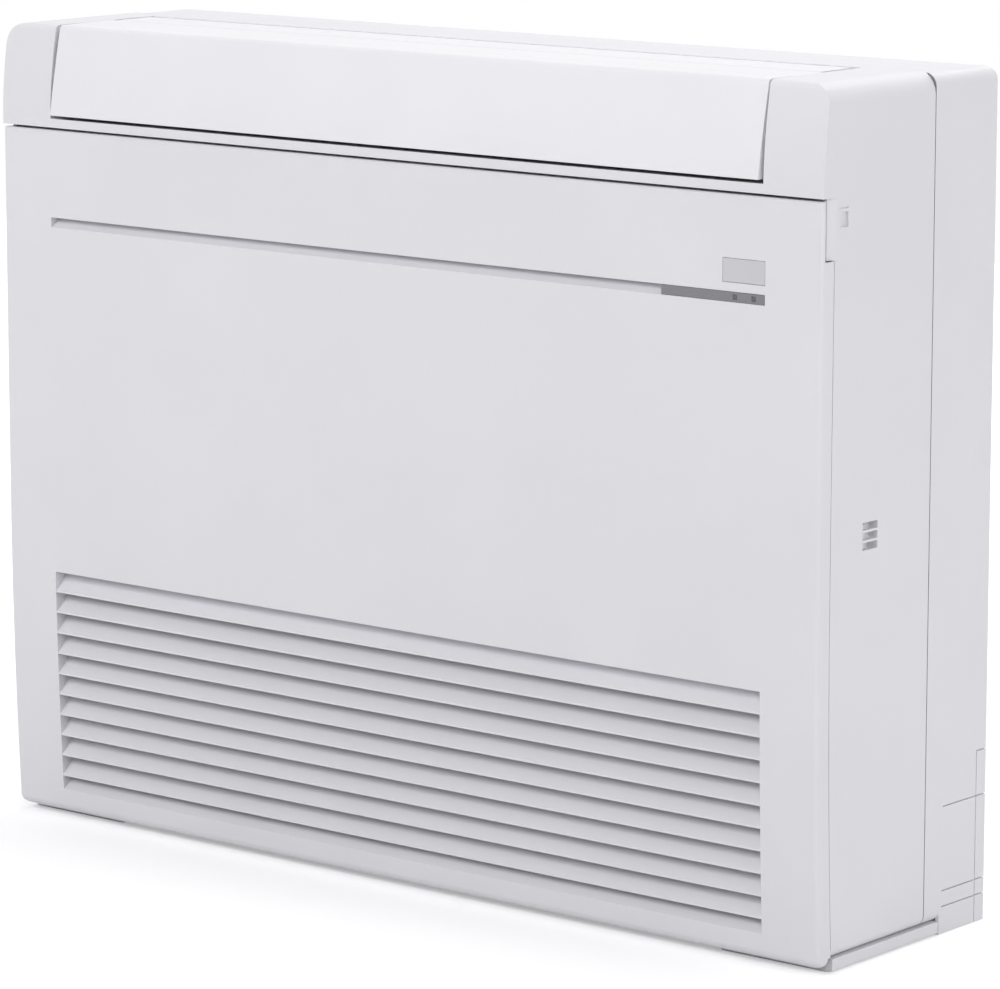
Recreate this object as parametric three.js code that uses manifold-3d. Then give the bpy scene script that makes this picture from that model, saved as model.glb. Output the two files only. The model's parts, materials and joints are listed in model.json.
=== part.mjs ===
// Floor standing air conditioner, indoor unit: a cabinet that stands on its plinth against a wall,
// draws air in through the louvres of its front panel and blows it out at the top, past a large
// front flap and a smaller top vane. Millimetres, +X to the right, +Y to the back, +Z up.
// Every outline below is written in depth (y, counted back from the foremost line of the panel)
// and height (z); the exported group moves the whole so that the origin is under the middle.

import * as THREE from 'three';
import { mergeVertices } from 'three/addons/utils/BufferGeometryUtils.js';
import Module from 'manifold-3d';

const wasm = await Module();
wasm.setup();

// ---- Driving dimensions ------------------------------------------------------------------

// cabinet
const WIDTH = 750;
const HEIGHT = 600;
const DEPTH = 205;
const WALL = 3;
const SEAM_DEPTH = 128; // where the front casing meets the rear casing
const SEAM_GAP = 0.6; // open joint between two visible mouldings
const FRONT_TOP_RADIUS = 16; // long edges of the front casing's top
const REAR_TOP_RADIUS = 9; // long edges of the rear casing's top
const REAR_TOP_DROP = 2; // the rear casing's top lies lower by this
const SKIRT_RISE = 9.8; // floor to the lower edge of the sides
const SKIRT_RADIUS = 8;
const HEEL_LENGTH = 55; // rear stretch whose sides reach the floor
const REAR_EDGE_RADIUS = 8; // rear casing's top edge at the wall
const FIT = 0.3; // clearance between seated pieces
const RUN = 0.5; // clearance round a turning pin

// base plinth
const PLINTH_SETBACK = 21.5;
const PLINTH_SIDE_INSET = 0.3;
const PAD_LENGTH = 90;
const PAD_WIDTH = 34;
const PAD_HEIGHT = 1.5;

// score lines, latch windows and sensor slots in the sides
const SCORE_WIDTH = 0.8;
const SCORE_DEPTH = 0.8;
const SCORE_START = 3; // behind the heel's front
const SCORE_RISES = [19.1, 30.4, 90.4];
const SKIRTING_DEPTH = 11.8; // upright score line to the casing's back edge
const SKIRTING_RISE = 123.2;
const LATCH_SIZE = 10;
const LATCH_DEPTH_AT = 18.8;
const LATCH_DROP = 8.2; // panel top to the latch window
const LATCH_RAMP = 4; // shallow front part of the window
const LATCH_FLOOR = 0.8; // skin left behind its deep part
const LATCH_LINE_RAISE = 2.4; // window to the score line above it
const SENSOR_SLOTS = 3;
const SENSOR_DEPTH_AT = 49.7;
const SENSOR_SLOT_LENGTH = 17.2;
const SENSOR_RISE = 284.9;
const SENSOR_SLOT_PITCH = 6.85;
const SENSOR_SLOT_HEIGHT = 5.2;

// front panel
const PANEL_WALL = 2.5;
const PANEL_RETURN = 12.7; // how far the panel wraps round the sides
const PANEL_FOOT = 4.5; // lower edge above the floor
const PANEL_FOOT_RADIUS = 7;
const PANEL_EDGE_RADIUS = 3;
const PANEL_TOP_GAP = 2;
const BOW_CREST = 240; // height at which the panel stands foremost
const BOW_LOW_RADIUS = 4400; // profile radius below the crest
const BOW_HIGH_RADIUS = 40000; // profile radius above the crest
const PANEL_CHAMFER = 0.8; // upper edge
const PANEL_SWING_AXIS_DEPTH = 13;
const PANEL_SWING_AXIS_RISE = 11.5;
const HINGE_INSET = 69; // side of the cabinet to the lug
const HINGE_LUG = 3;
const HINGE_BRACKET = 11;
const HINGE_PIN_RADIUS = 2;

// louvre grille in the panel
const GRILLE_MARGIN = 47.5; // panel edge to the opening
const GRILLE_SILL = 22.8; // floor to the opening's lower edge
const SLAT_COUNT = 10;
const SLAT_PITCH = 15.8;
const SLAT_FIRST = 10; // sill to the first slat's tip
const SLAT_REACH = 12.5; // how far a slat runs back
const SLAT_CLIMB = 13.1; // how far it rises on the way
const SLAT_TIP = 1.5;
const SLAT_INSET = 0.4; // tip behind the panel's face
const GRILLE_RIB_COUNT = 5;
const GRILLE_RIB = 1.6;
const GRILLE_RIB_LAP = 1; // onto the slats' rear edges
const GRILLE_RIB_PROUD = 0.6; // behind them

// groove, display strip and receiver window in the panel
const GROOVE_TOP_DROP = 141.7; // cabinet top to the groove's upper edge
const GROOVE_HEIGHT = 7.1;
const GROOVE_DEPTH = 9; // along its upper edge
const GROOVE_LIP = 0.5; // along its lower edge
const STRIP_LENGTH = 86.4;
const STRIP_THICK = 1.1;
const WINDOW_WIDTH = 35;
const WINDOW_HEIGHT = 16.4;
const WINDOW_RAISE = 6; // above the strip
const LENS_SIZE = 3.4;
const LENS_PITCH = 15.4;
const LENS_INSET = 9.2; // strip end to the outer lens

// grips at the panel's upper corners
const GRIP_BITE = 3.2;
const GRIP_EDGE_DEPTH = 8; // the panel ends here, at the scoop's deepest line
const GRIP_FRONT = 4.7; // reach of the scoop into the panel
const GRIP_REAR = 8.4; // reach of the scoop into the casing
const GRIP_EAR = 7; // width of the casing's ear behind the scoop
const GRIP_LENGTH = 40;

// air outlet in the front casing
const CHEEK = 49; // side to the outlet opening
const OUTLET_HEIGHT = 68.4; // rail to the cabinet top
const RAIL_HEIGHT = 6.6;
const RAIL_SHELF = 2.5;
const RAIL_FACE = 1; // depth of the rail's face
const CHEEK_LEAN = 7.5; // how far the cheeks lean back from the rail to the top
const BROW_RADIUS = 5;
const FRAME_DEPTH = 23; // front face of the upright frame that carries the filters
const MULLION = 12; // between the two intake openings
const INTAKE_MARGIN = 71; // side to the intake opening
const INTAKE_SILL = 42;
const INTAKE_TOP_DROP = 170;

// outlet flap
const FLAP_SIDE_GAP = 2.5;
const FLAP_FOOT_GAP = 2.7; // rail to the flap's lower edge
const FLAP_FOOT_DEPTH = -1.9; // the lower edge stands proud of the panel
const FLAP_BROW_DEPTH = 10.4; // upper front corner
const FLAP_REAR_DEPTH = 67.8;
const FLAP_BROW_RADIUS = 3.5;
const FLAP_AXIS_DEPTH = 7.5;
const FLAP_AXIS_DROP = 37; // below the cabinet top
const FLAP_WEB = 10; // depth of the stiffening at the flap's ends
const FLAP_CREASE_DEPTH = 32; // fine line across its top
const FLAP_LIP_DEPTH = 35; // behind this its top reaches out to the cheeks

// top vane
const VANE_FRONT_GAP = 1.2;
const VANE_SIDE_GAP = 4;
const VANE_AXIS_DEPTH = 105;
const VANE_ROLL_RADIUS = 6; // rolled rear edge, concentric with its axis
const PIVOT_RADIUS = 1.5;

// fan and duct
const FAN_RADIUS = 47;
const FAN_HUB_RADIUS = 35;
const FAN_BLADES = 22;
const FAN_BAYS = 3;
const FAN_DISC = 2.5;
const FAN_BEHIND = 64; // axis to the casing's back edge
const FAN_DROP = 182; // axis below the cabinet top
const FAN_LEFT_GAP = 8; // wheel to the left side frame
const FAN_RIGHT_GAP = 14;
const SHAFT_RADIUS = 4;
const BEARING_RADIUS = 13;
const BEARING_LENGTH = 16;
const SCROLL_GAP = 6; // wheel to scroll at its start
const TONGUE_GAP = 4; // wheel to the tongue
const DUCT_WALL = 2.5;
const END_BAY = 69; // side of the cabinet to the side frame, room for motor and pipes
const SIDE_FRAME_WALL = 2;
const BACK_CLEAR = 7; // back of the cabinet to the scroll

// guide vanes
const GUIDE_COUNT = 8;
const GUIDE_MARGIN = 47; // side frame to the outermost vane
const GUIDE_SWING = 30; // degrees to either side
const GUIDE_SPAN = 78;
const GUIDE_ROOT = 40;
const GUIDE_TIP = 26;
const GUIDE_THICK = 1.8;
const GUIDE_PIN_RADIUS = 2;
const GUIDE_ARM = 16; // pivot to link pin
const LINK_PIN_RADIUS = 1.5;
const LINK_WIDTH = 9;
const LINK_THICK = 2.5;
const LINK_LIFT = 14; // link bar above the duct wall

// heat exchanger, pan and pipes
const COIL_THICK = 27;
const COIL_FOOT_AHEAD = 26; // in front of the fan's axis
const COIL_FOOT_RISE = 168;
const COIL_HEAD_AHEAD = 77;
const COIL_HEAD_DROP = 155;
const COIL_LEFT_GAP = 22; // side frame to the fin pack
const COIL_RIGHT_GAP = 40;
const COIL_GROOVES = 18;
const COIL_SLOT = 1.6; // slot between two bundles of fins
const COIL_SLOT_DEPTH = 2;
const PLATE_THICK = 1.5; // steel plates at the coil's ends
const TUBE_RADIUS = 3.6;
const BEND_COUNT = 5;
const BEND_RADIUS = 10;
const PIPE_RADIUS = 4.8;
const LIQUID_PIPE_RADIUS = 3.4;
const GAS_PIPE_OUT = 46; // left of the side frame
const GAS_PIPE_DROP = 96;
const LIQUID_PIPE_OUT = 24;
const LIQUID_PIPE_DROP = 74;
const PIPE_BEND = 9;
const NUT_LENGTH = 24;
const PAN_HEIGHT = 32;
const PAN_RISE = 118;
const PAN_FRONT = 32; // from the coil's foot to the pan's front edge
const PAN_BACK = 34;
const PAN_SLOPE_FRONT = 16; // width of the sloping front wall
const PAN_SLOPE_BACK = 14;
const PAN_KNEE = 4; // height of the rounding at the pan's bottom
const PAN_SEAT_INSET = 60;
const PAN_SEAT = 8;
const SPIGOT_BACK = 10; // behind the foot of the coil
const SPIGOT_RAISE = 7; // above the pan's underside
const SPIGOT_RADIUS = 5.5;
const SPIGOT_LENGTH = 26;

// electrical parts
const BOX_WIDTH = 46;
const BOX_FOOT = 84;
const BOX_HEAD_GAP = 22; // below the fan motor
const BOX_DEPTH = 92;
const BOX_WALL = 2;
const MOTOR_RADIUS = 42;
const MOTOR_LENGTH = 42;
const STEPPER_RADIUS = 10;
const STEPPER_LENGTH = 14;
const STEPPER_OFFSET = 11.6; // can centre to its output shaft
const BOSS_RADIUS = 2.6;
const STEPPER_EAR = 17;
const INDICATOR_DEPTH = 10.7;
const BUTTON_RADIUS = 3.5;
const BUTTON_TRAVEL = 1.5;
const BUTTON_INSET = 35; // side of the cabinet to the button
const BUTTON_RAISE = 6; // above the groove
const BUTTON_RECESS = 3; // face of the button behind the housing's
const INDICATOR_WIDTH = 84;
const INDICATOR_OVERHANG = 22; // beyond the display strip
const BOARD_RAISE = 84; // board above the box's floor
const BOARD_HEIGHT = 160;
const BOARD_THICK = 1.6;
const BOARD_STAND = 6; // board to the box's back wall
const CAPACITOR_RADIUS = 9;
const CAPACITOR_HEIGHT = 35;

// filters
const FILTER_THICK = 4;
const FILTER_LAP = 4; // onto the frame round the intake

// back
const BACK_PLATE_MARGIN = 5;
const BACK_PLATE_FOOT = 20;
const BACK_PLATE_THICK = 1.2;
const BACK_LIP = 14;
const BACK_SCREW_RADIUS = 3.4;
const BEAD_INSET = 24;
const PIPE_OPENING = 100;
const PIPE_OPENING_RISE = 46;

// ---- Materials ---------------------------------------------------------------------------

function finish(color, roughness, metalness = 0) {
  return new THREE.MeshStandardMaterial({ color, roughness, metalness });
}
const shellWhite = finish(0xdfdfe3, 0.45);
const flapWhite = finish(0xe4e4e8, 0.42);
const displayGrey = finish(0x828286, 0.4);
const windowGrey = finish(0xcfcfd3, 0.25);
const lensDark = finish(0x6e6e72, 0.2);
const ductWhite = finish(0xc8c9cc, 0.6);
const darkPlastic = finish(0x35373b, 0.6);
const galvanised = finish(0xa9adb0, 0.45, 0.9);
const aluminium = finish(0xb9bdc2, 0.4, 0.9);
const copper = finish(0xb06a42, 0.35, 0.95);
const foamGrey = finish(0x9a9ca0, 0.9);
const filterGrey = finish(0x6b6f76, 0.8);
const motorSteel = finish(0x8d9094, 0.4, 0.8);
const buttonGrey = finish(0xb5b6ba, 0.5);
const brass = finish(0xb59a52, 0.35, 0.9);
const boardGreen = finish(0x2f5a41, 0.6);

// ---- Geometry helpers --------------------------------------------------------------------

const X = new THREE.Vector3(1, 0, 0);
const Y = new THREE.Vector3(0, 1, 0);
const Z = new THREE.Vector3(0, 0, 1);

// A closed geometry as a solid for joining and cutting.
function solidOf(geometry) {
  const bare = geometry.clone();
  bare.deleteAttribute('normal');
  bare.deleteAttribute('uv');
  const merged = mergeVertices(bare, 1e-4);
  return new wasm.Manifold(new wasm.Mesh({
    numProp: 3,
    vertProperties: new Float32Array(merged.getAttribute('position').array),
    triVerts: new Uint32Array(merged.index.array),
  }));
}

// A solid as a geometry for a mesh.
function geometryOf(solid) {
  const mesh = solid.getMesh();
  const geometry = new THREE.BufferGeometry();
  geometry.setAttribute('position', new THREE.BufferAttribute(mesh.vertProperties, 3));
  geometry.setIndex(new THREE.BufferAttribute(mesh.triVerts, 1));
  geometry.computeVertexNormals();
  return geometry;
}

function join(...solids) {
  return solids.reduce((sum, solid) => sum.add(solid));
}

// An outline of [a, b] pairs pushed along an axis; a and b lie on the two given directions.
function prism(outline, from, to, a, b, along) {
  const shape = new THREE.Shape(outline.map(([u, v]) => new THREE.Vector2(u, v)));
  const geometry = new THREE.ExtrudeGeometry(shape, { depth: to - from, bevelEnabled: false });
  const offset = along.clone().multiplyScalar(from);
  geometry.applyMatrix4(new THREE.Matrix4().makeBasis(a, b, along).setPosition(offset));
  return solidOf(geometry);
}
// [depth, height] outline along X, [x, height] along Y, [x, depth] along Z
const prismX = (outline, x0, x1) => prism(outline, x0, x1, Y, Z, X);
const prismY = (outline, y0, y1) => prism(outline, -y1, -y0, X, Z, Y.clone().negate());
const prismZ = (outline, z0, z1) => prism(outline, z0, z1, X, Y, Z);

function block(x0, x1, y0, y1, z0, z1) {
  const geometry = new THREE.BoxGeometry(x1 - x0, y1 - y0, z1 - z0);
  geometry.translate((x0 + x1) / 2, (y0 + y1) / 2, (z0 + z1) / 2);
  return solidOf(geometry);
}

// Points of an arc, both ends included, angles in degrees.
function arc(a, b, radius, fromDeg, toDeg, steps) {
  return Array.from({ length: steps + 1 }, (_, i) => {
    const angle = THREE.MathUtils.degToRad(fromDeg + ((toDeg - fromDeg) * i) / steps);
    return [a + radius * Math.cos(angle), b + radius * Math.sin(angle)];
  });
}
function circle(a, b, radius, sides) {
  return arc(a, b, radius, 0, 360, sides).slice(0, -1);
}
const rodX = (depth, height, radius, x0, x1, sides = 16) => prismX(circle(depth, height, radius, sides), x0, x1);
const rodY = (x, height, radius, y0, y1, sides = 16) => prismY(circle(x, height, radius, sides), y0, y1);

// A span of X on the left and the same span on the right, each listed from its lower end.
function mirrored(near, far) {
  return [[-far, -near], [near, far]];
}

// A rectangle with its own radius at the top and at the bottom corners.
function roundedOutline(half, low, high, topRadius, footRadius, steps = 6) {
  const foot = footRadius > 0
    ? [...arc(-half + footRadius, low + footRadius, footRadius, 180, 270, steps),
      ...arc(half - footRadius, low + footRadius, footRadius, 270, 360, steps)]
    : [[-half, low], [half, low]];
  const top = [...arc(half - topRadius, high - topRadius, topRadius, 0, 90, steps),
    ...arc(-half + topRadius, high - topRadius, topRadius, 90, 180, steps)];
  return [...foot, ...top];
}

// A solid skinned over closed rings of equal length, listed from the lowest up.
function loft(rings) {
  const count = rings[0].length;
  const positions = rings.flat().flatMap((point) => [point.x, point.y, point.z]);
  const index = [];
  for (let level = 0; level < rings.length - 1; level++) {
    for (let i = 0; i < count; i++) {
      const a = level * count + i;
      const b = level * count + ((i + 1) % count);
      index.push(a, b, b + count, a, b + count, a + count);
    }
  }
  const top = (rings.length - 1) * count;
  for (let i = 1; i < count - 1; i++) {
    index.push(0, i + 1, i);
    index.push(top, top + i, top + i + 1);
  }
  const geometry = new THREE.BufferGeometry();
  geometry.setAttribute('position', new THREE.Float32BufferAttribute(positions, 3));
  geometry.setIndex(index);
  return solidOf(geometry);
}

const unit = new THREE.Group();
unit.name = 'floor_air_conditioner';
unit.position.y = -(DEPTH + FLAP_FOOT_DEPTH) / 2;

function place(parent, name, shape, material) {
  const geometry = shape.isBufferGeometry ? shape : geometryOf(shape);
  const mesh = new THREE.Mesh(geometry, material);
  mesh.name = name;
  parent.add(mesh);
  return mesh;
}

// ---- Places worked out from the dimensions -----------------------------------------------

const HALF = WIDTH / 2;
const CASING_DEPTH = DEPTH - WALL; // back edge of the rear casing
const RAIL_TOP = HEIGHT - OUTLET_HEIGHT;
const RAIL_FOOT = RAIL_TOP - RAIL_HEIGHT;
const PANEL_TOP = RAIL_FOOT - PANEL_TOP_GAP;
const HEEL_DEPTH = CASING_DEPTH - HEEL_LENGTH;
const HINGE_AT = HALF - HINGE_INSET;
const OUTLET_HALF = HALF - CHEEK;
const FLAP_HALF = OUTLET_HALF - FLAP_SIDE_GAP;
const VANE_HALF = OUTLET_HALF - VANE_SIDE_GAP;
const INTAKE_HALF = HALF - INTAKE_MARGIN;
const INTAKE_TOP = HEIGHT - INTAKE_TOP_DROP;
const FRAME_BACK = FRAME_DEPTH + WALL;
const GRILLE_HALF = HALF - GRILLE_MARGIN;
const GRILLE_TOP = GRILLE_SILL + SLAT_FIRST + SLAT_COUNT * SLAT_PITCH;
const GROOVE_TOP = HEIGHT - GROOVE_TOP_DROP;
const GROOVE_FOOT = GROOVE_TOP - GROOVE_HEIGHT;
const STRIP_RIGHT = GRILLE_HALF + 1;
const STRIP_LEFT = STRIP_RIGHT - STRIP_LENGTH;
const SIDE_FRAME_AT = HALF - END_BAY;
const FAN_RISE = HEIGHT - FAN_DROP;
const FAN_DEPTH = CASING_DEPTH - FAN_BEHIND;
const FAN_LEFT = FAN_LEFT_GAP - SIDE_FRAME_AT;
const FAN_RIGHT = SIDE_FRAME_AT - FAN_RIGHT_GAP;
const COIL_LEFT = COIL_LEFT_GAP - SIDE_FRAME_AT;
const COIL_RIGHT = SIDE_FRAME_AT - COIL_RIGHT_GAP;
const COIL_FOOT_DEPTH = FAN_DEPTH - COIL_FOOT_AHEAD;
const COIL_HEAD_DEPTH = FAN_DEPTH - COIL_HEAD_AHEAD;
const SPIGOT_DEPTH = COIL_FOOT_DEPTH + SPIGOT_BACK;
const SPIGOT_RISE = PAN_RISE + SPIGOT_RAISE;
const GUIDE_PITCH = (2 * (SIDE_FRAME_AT - GUIDE_MARGIN)) / (GUIDE_COUNT - 1);
const BOX_HEIGHT = FAN_RISE - MOTOR_RADIUS - BOX_HEAD_GAP - BOX_FOOT;
const LENS_RISE = GROOVE_FOOT + GROOVE_HEIGHT / 2;
const BUTTON_AT = HALF - BUTTON_INSET;
const BUTTON_RISE = GROOVE_TOP + BUTTON_RAISE;
const FLAP_AXIS_RISE = HEIGHT - FLAP_AXIS_DROP;
const VANE_AXIS_RISE = HEIGHT - VANE_ROLL_RADIUS;
const VANE_FRONT = FLAP_REAR_DEPTH + VANE_FRONT_GAP;
const STRIP_EDGE = VANE_AXIS_DEPTH + VANE_ROLL_RADIUS + SEAM_GAP; // front edge of the top strip
const COIL_HEAD_RISE = HEIGHT - COIL_HEAD_DROP;

// How far the panel's face lies behind its foremost line at a height.
function bow(z) {
  const fall = z - BOW_CREST;
  return (fall * fall) / (2 * (fall < 0 ? BOW_LOW_RADIUS : BOW_HIGH_RADIUS));
}
// Heights from one to another, close enough to follow the bow.
function heights(from, to, step = 45) {
  const count = Math.ceil((to - from) / step);
  return Array.from({ length: count + 1 }, (_, i) => from + ((to - from) * i) / count);
}
// Outline of a band that follows the bow between two depths behind the face.
function bowBand(low, high, near, far) {
  const levels = heights(low, high);
  return [...levels.map((z) => [bow(z) + far, z]), ...levels.reverse().map((z) => [bow(z) + near, z])];
}

// ---- Cabinet ------------------------------------------------------------------------------

// Depth of the leaning cheek face at a height above the rail.
function cheekFace(z) {
  const climb = Math.max(z - RAIL_TOP, 0) / OUTLET_HEIGHT;
  return RAIL_FACE + CHEEK_LEAN * climb ** 1.7;
}

// Side outline of the cabinet front above the panel, wall being 0 for the skin and WALL inside.
function cheekOutline(wall) {
  const radius = BROW_RADIUS - wall / 2;
  const crown = HEIGHT - wall;
  const browDepth = cheekFace(crown - radius) + wall + radius;
  return [
    [RAIL_FACE + wall, RAIL_FOOT],
    ...heights(RAIL_TOP, crown - radius, 14).map((z) => [cheekFace(z) + wall, z]),
    ...arc(browDepth, crown - radius, radius, 180, 90, 5).slice(1),
  ];
}

// Front half of the cabinet: sides behind the panel, cheeks beside the air outlet, the rail below
// it, the strip behind it, and the upright frame that carries the filters.
function frontCasing() {
  const seam = heights(SKIRT_RISE, RAIL_FOOT).map((z) => [bow(z) + PANEL_RETURN + SEAM_GAP, z]);
  const skin = prismX(
    [...seam, ...cheekOutline(0), [SEAM_DEPTH, HEIGHT], [SEAM_DEPTH, SKIRT_RISE]], -HALF, HALF,
  ).intersect(
    prismY(roundedOutline(HALF, SKIRT_RISE, HEIGHT, FRONT_TOP_RADIUS, SKIRT_RADIUS), -9, SEAM_DEPTH),
  );
  const hollowFoot = SKIRT_RISE + WALL;
  const beyond = SEAM_DEPTH + 9;
  const hollow = prismX([
    [-9, hollowFoot], [-9, RAIL_FOOT], ...cheekOutline(WALL), [beyond, HEIGHT - WALL], [beyond, hollowFoot],
  ], -HALF, HALF).intersect(
    prismY(roundedOutline(HALF - WALL, hollowFoot, HEIGHT - WALL, FRONT_TOP_RADIUS - WALL,
      SKIRT_RADIUS - WALL), -9, beyond),
  );
  const frame = block(-HALF, HALF, FRAME_DEPTH, FRAME_BACK, 0, RAIL_TOP - RAIL_SHELF / 2);
  const shelf = block(-HALF, HALF, RAIL_FACE + 1, FRAME_BACK, RAIL_TOP - RAIL_SHELF, RAIL_TOP);
  const cheekWalls = mirrored(OUTLET_HALF, OUTLET_HALF + WALL).map(([near, far]) => block(
    near, far, 0, SEAM_DEPTH - WALL, RAIL_TOP - RAIL_SHELF / 2, HEIGHT,
  ));
  const outlet = block(-OUTLET_HALF, OUTLET_HALF, -9, STRIP_EDGE, RAIL_TOP, HEIGHT + 9);
  const intakes = mirrored(MULLION / 2, INTAKE_HALF).map(([near, far]) => block(
    near, far, FRAME_DEPTH - 1, FRAME_BACK + 1, INTAKE_SILL, INTAKE_TOP,
  ));
  const toeSpace = block(-HALF + WALL, HALF - WALL, 0, PLINTH_SETBACK, 0, hollowFoot + 1);
  const bores = mirrored(OUTLET_HALF - 1, OUTLET_HALF + WALL * 2).flatMap(([near, far]) => [
    rodX(FLAP_AXIS_DEPTH, FLAP_AXIS_RISE, PIVOT_RADIUS + RUN, near, far, 12),
    rodX(VANE_AXIS_DEPTH, VANE_AXIS_RISE, PIVOT_RADIUS + RUN, near, far, 12),
  ]);
  const bossPockets = mirrored(OUTLET_HALF + WALL, OUTLET_HALF + WALL * 3).map(([near, far]) => rodX(
    FLAP_AXIS_DEPTH, FLAP_AXIS_RISE, BOSS_RADIUS + RUN, near, far, 16,
  ));
  const fittings = join(frame, shelf, ...cheekWalls).intersect(skin);
  return join(skin.subtract(hollow), fittings, gripEars()).subtract(join(
    outlet, ...intakes, toeSpace, ...bores, ...bossPockets, ...latchCuts(), sensorSlots(),
    ...gripScoops(GRIP_REAR),
  ));
}

// Upright scoop that the fingers reach into at the panel's upper corners: its bottom is the gap
// between the panel's shortened edge and an ear of the casing. It rises faster in the panel.
function gripScoops(reach) {
  const radius = (reach ** 2 + GRIP_BITE ** 2) / (2 * GRIP_BITE);
  return [-1, 1].map((side) => prismZ(
    circle(side * (HALF - GRIP_BITE + radius), GRIP_EDGE_DEPTH, radius, 28),
    PANEL_TOP - GRIP_LENGTH, RAIL_FOOT - PANEL_TOP_GAP / 4,
  ));
}
function gripEars() {
  const back = bow(PANEL_TOP) + PANEL_RETURN + WALL * 2;
  return join(...mirrored(HALF - GRIP_EAR + FIT, HALF).map(([near, far]) => block(
    near, far, GRIP_EDGE_DEPTH + SEAM_GAP, back, PANEL_TOP - GRIP_LENGTH + SEAM_GAP, RAIL_FOOT + 1,
  )));
}

// Square latch windows with a short score line above them, one in each side.
function latchCuts() {
  const [front, back] = [LATCH_DEPTH_AT, LATCH_DEPTH_AT + LATCH_SIZE];
  const top = PANEL_TOP - LATCH_DROP;
  const line = top + LATCH_LINE_RAISE;
  const deep = mirrored(HALF - WALL + LATCH_FLOOR, HALF + 1).map(([near, far]) => block(
    near, far, front + LATCH_RAMP, back, top - LATCH_SIZE, top,
  ));
  const shallow = mirrored(HALF - SCORE_DEPTH, HALF + 1).map(([near, far]) => join(
    block(near, far, front, back, top - LATCH_SIZE, top),
    block(near, far, front, back, line, line + SCORE_WIDTH),
  ));
  return [...deep, ...shallow];
}

// Slots in the right side in front of the room sensor.
function sensorSlots() {
  return join(...Array.from({ length: SENSOR_SLOTS }, (_, i) => SENSOR_RISE + i * SENSOR_SLOT_PITCH)
    .map((z) => block(HALF - WALL - 1, HALF + 1, SENSOR_DEPTH_AT, SENSOR_DEPTH_AT + SENSOR_SLOT_LENGTH,
      z, z + SENSOR_SLOT_HEIGHT)));
}

// Rear box: a front stretch whose sides end above the plinth, and a heel that reaches the floor.
function rearCasing() {
  const front = SEAM_DEPTH + SEAM_GAP;
  const crown = HEIGHT - REAR_TOP_DROP;
  const profile = (low, from, to, wall) => {
    const radius = REAR_EDGE_RADIUS - wall / 2;
    const back = to === CASING_DEPTH ? CASING_DEPTH - wall : to;
    return [[from, low], [from, crown - wall],
      ...arc(back - radius, crown - wall - radius, radius, 90, 0, 5), [back, low]];
  };
  const stretch = prismX([[front, SKIRT_RISE], [front, crown], [HEEL_DEPTH, crown], [HEEL_DEPTH, SKIRT_RISE]],
    -HALF, HALF).intersect(
    prismY(roundedOutline(HALF, SKIRT_RISE, crown, REAR_TOP_RADIUS, SKIRT_RADIUS), 0, HEEL_DEPTH),
  );
  const heel = prismX(profile(0, HEEL_DEPTH, CASING_DEPTH, 0), -HALF, HALF).intersect(
    prismY(roundedOutline(HALF, 0, crown, REAR_TOP_RADIUS, 0), 0, DEPTH),
  );
  const inside = HALF - WALL;
  const hollowTop = crown - WALL;
  const hollow = prismX(profile(-9, front - 9, CASING_DEPTH, WALL), -inside, inside).intersect(
    prismY(roundedOutline(inside, -9, hollowTop, REAR_TOP_RADIUS - WALL, 0), 0, DEPTH),
  ).subtract(block(-HALF, HALF, 0, HEEL_DEPTH, -9, SKIRT_RISE + WALL));
  const backOpening = block(-inside + BACK_LIP, inside - BACK_LIP, CASING_DEPTH - WALL - 1, DEPTH,
    BACK_LIP * 2, hollowTop - BACK_LIP);
  return join(stretch, heel).subtract(join(hollow, backOpening, ...scoreLines(), ...backScrewHoles()));
}

// Score lines that mark the knock-outs for pipes and for a skirting board, on both sides.
function scoreLines() {
  return mirrored(HALF - SCORE_DEPTH, HALF + 1).flatMap(([near, far]) => {
    const line = (from, to, low, high) => block(near, far, from, to, low, high);
    const start = HEEL_DEPTH + SCORE_START;
    const strip = CASING_DEPTH - SKIRTING_DEPTH;
    return [
      ...SCORE_RISES.map((z) => line(start, DEPTH, z, z + SCORE_WIDTH)),
      line(strip, strip + SCORE_WIDTH, -1, SKIRTING_RISE),
      line(strip, DEPTH, SKIRTING_RISE - SCORE_WIDTH, SKIRTING_RISE),
    ];
  });
}

// Foot under the cabinet, narrower between the heel's sides, on a pad at each corner.
function basePlinth() {
  const top = SKIRT_RISE - FIT;
  const wide = HALF - PLINTH_SIDE_INSET;
  const narrow = HALF - WALL - FIT;
  const step = HEEL_DEPTH - FIT;
  const back = CASING_DEPTH - WALL - FIT;
  const deck = prismZ([
    [-wide, PLINTH_SETBACK], [wide, PLINTH_SETBACK], [wide, step], [narrow, step], [narrow, back],
    [-narrow, back], [-narrow, step], [-wide, step],
  ], PAD_HEIGHT, top);
  const pads = mirrored(narrow - PAD_LENGTH, narrow).flatMap(([x0, x1]) => [
    block(x0, x1, PLINTH_SETBACK, PLINTH_SETBACK + PAD_WIDTH, 0, top - 1),
    block(x0, x1, back - PAD_WIDTH, back, 0, top - 1),
  ]);
  return join(deck, ...pads);
}

// ---- Front panel with its louvres ---------------------------------------------------------

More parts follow.
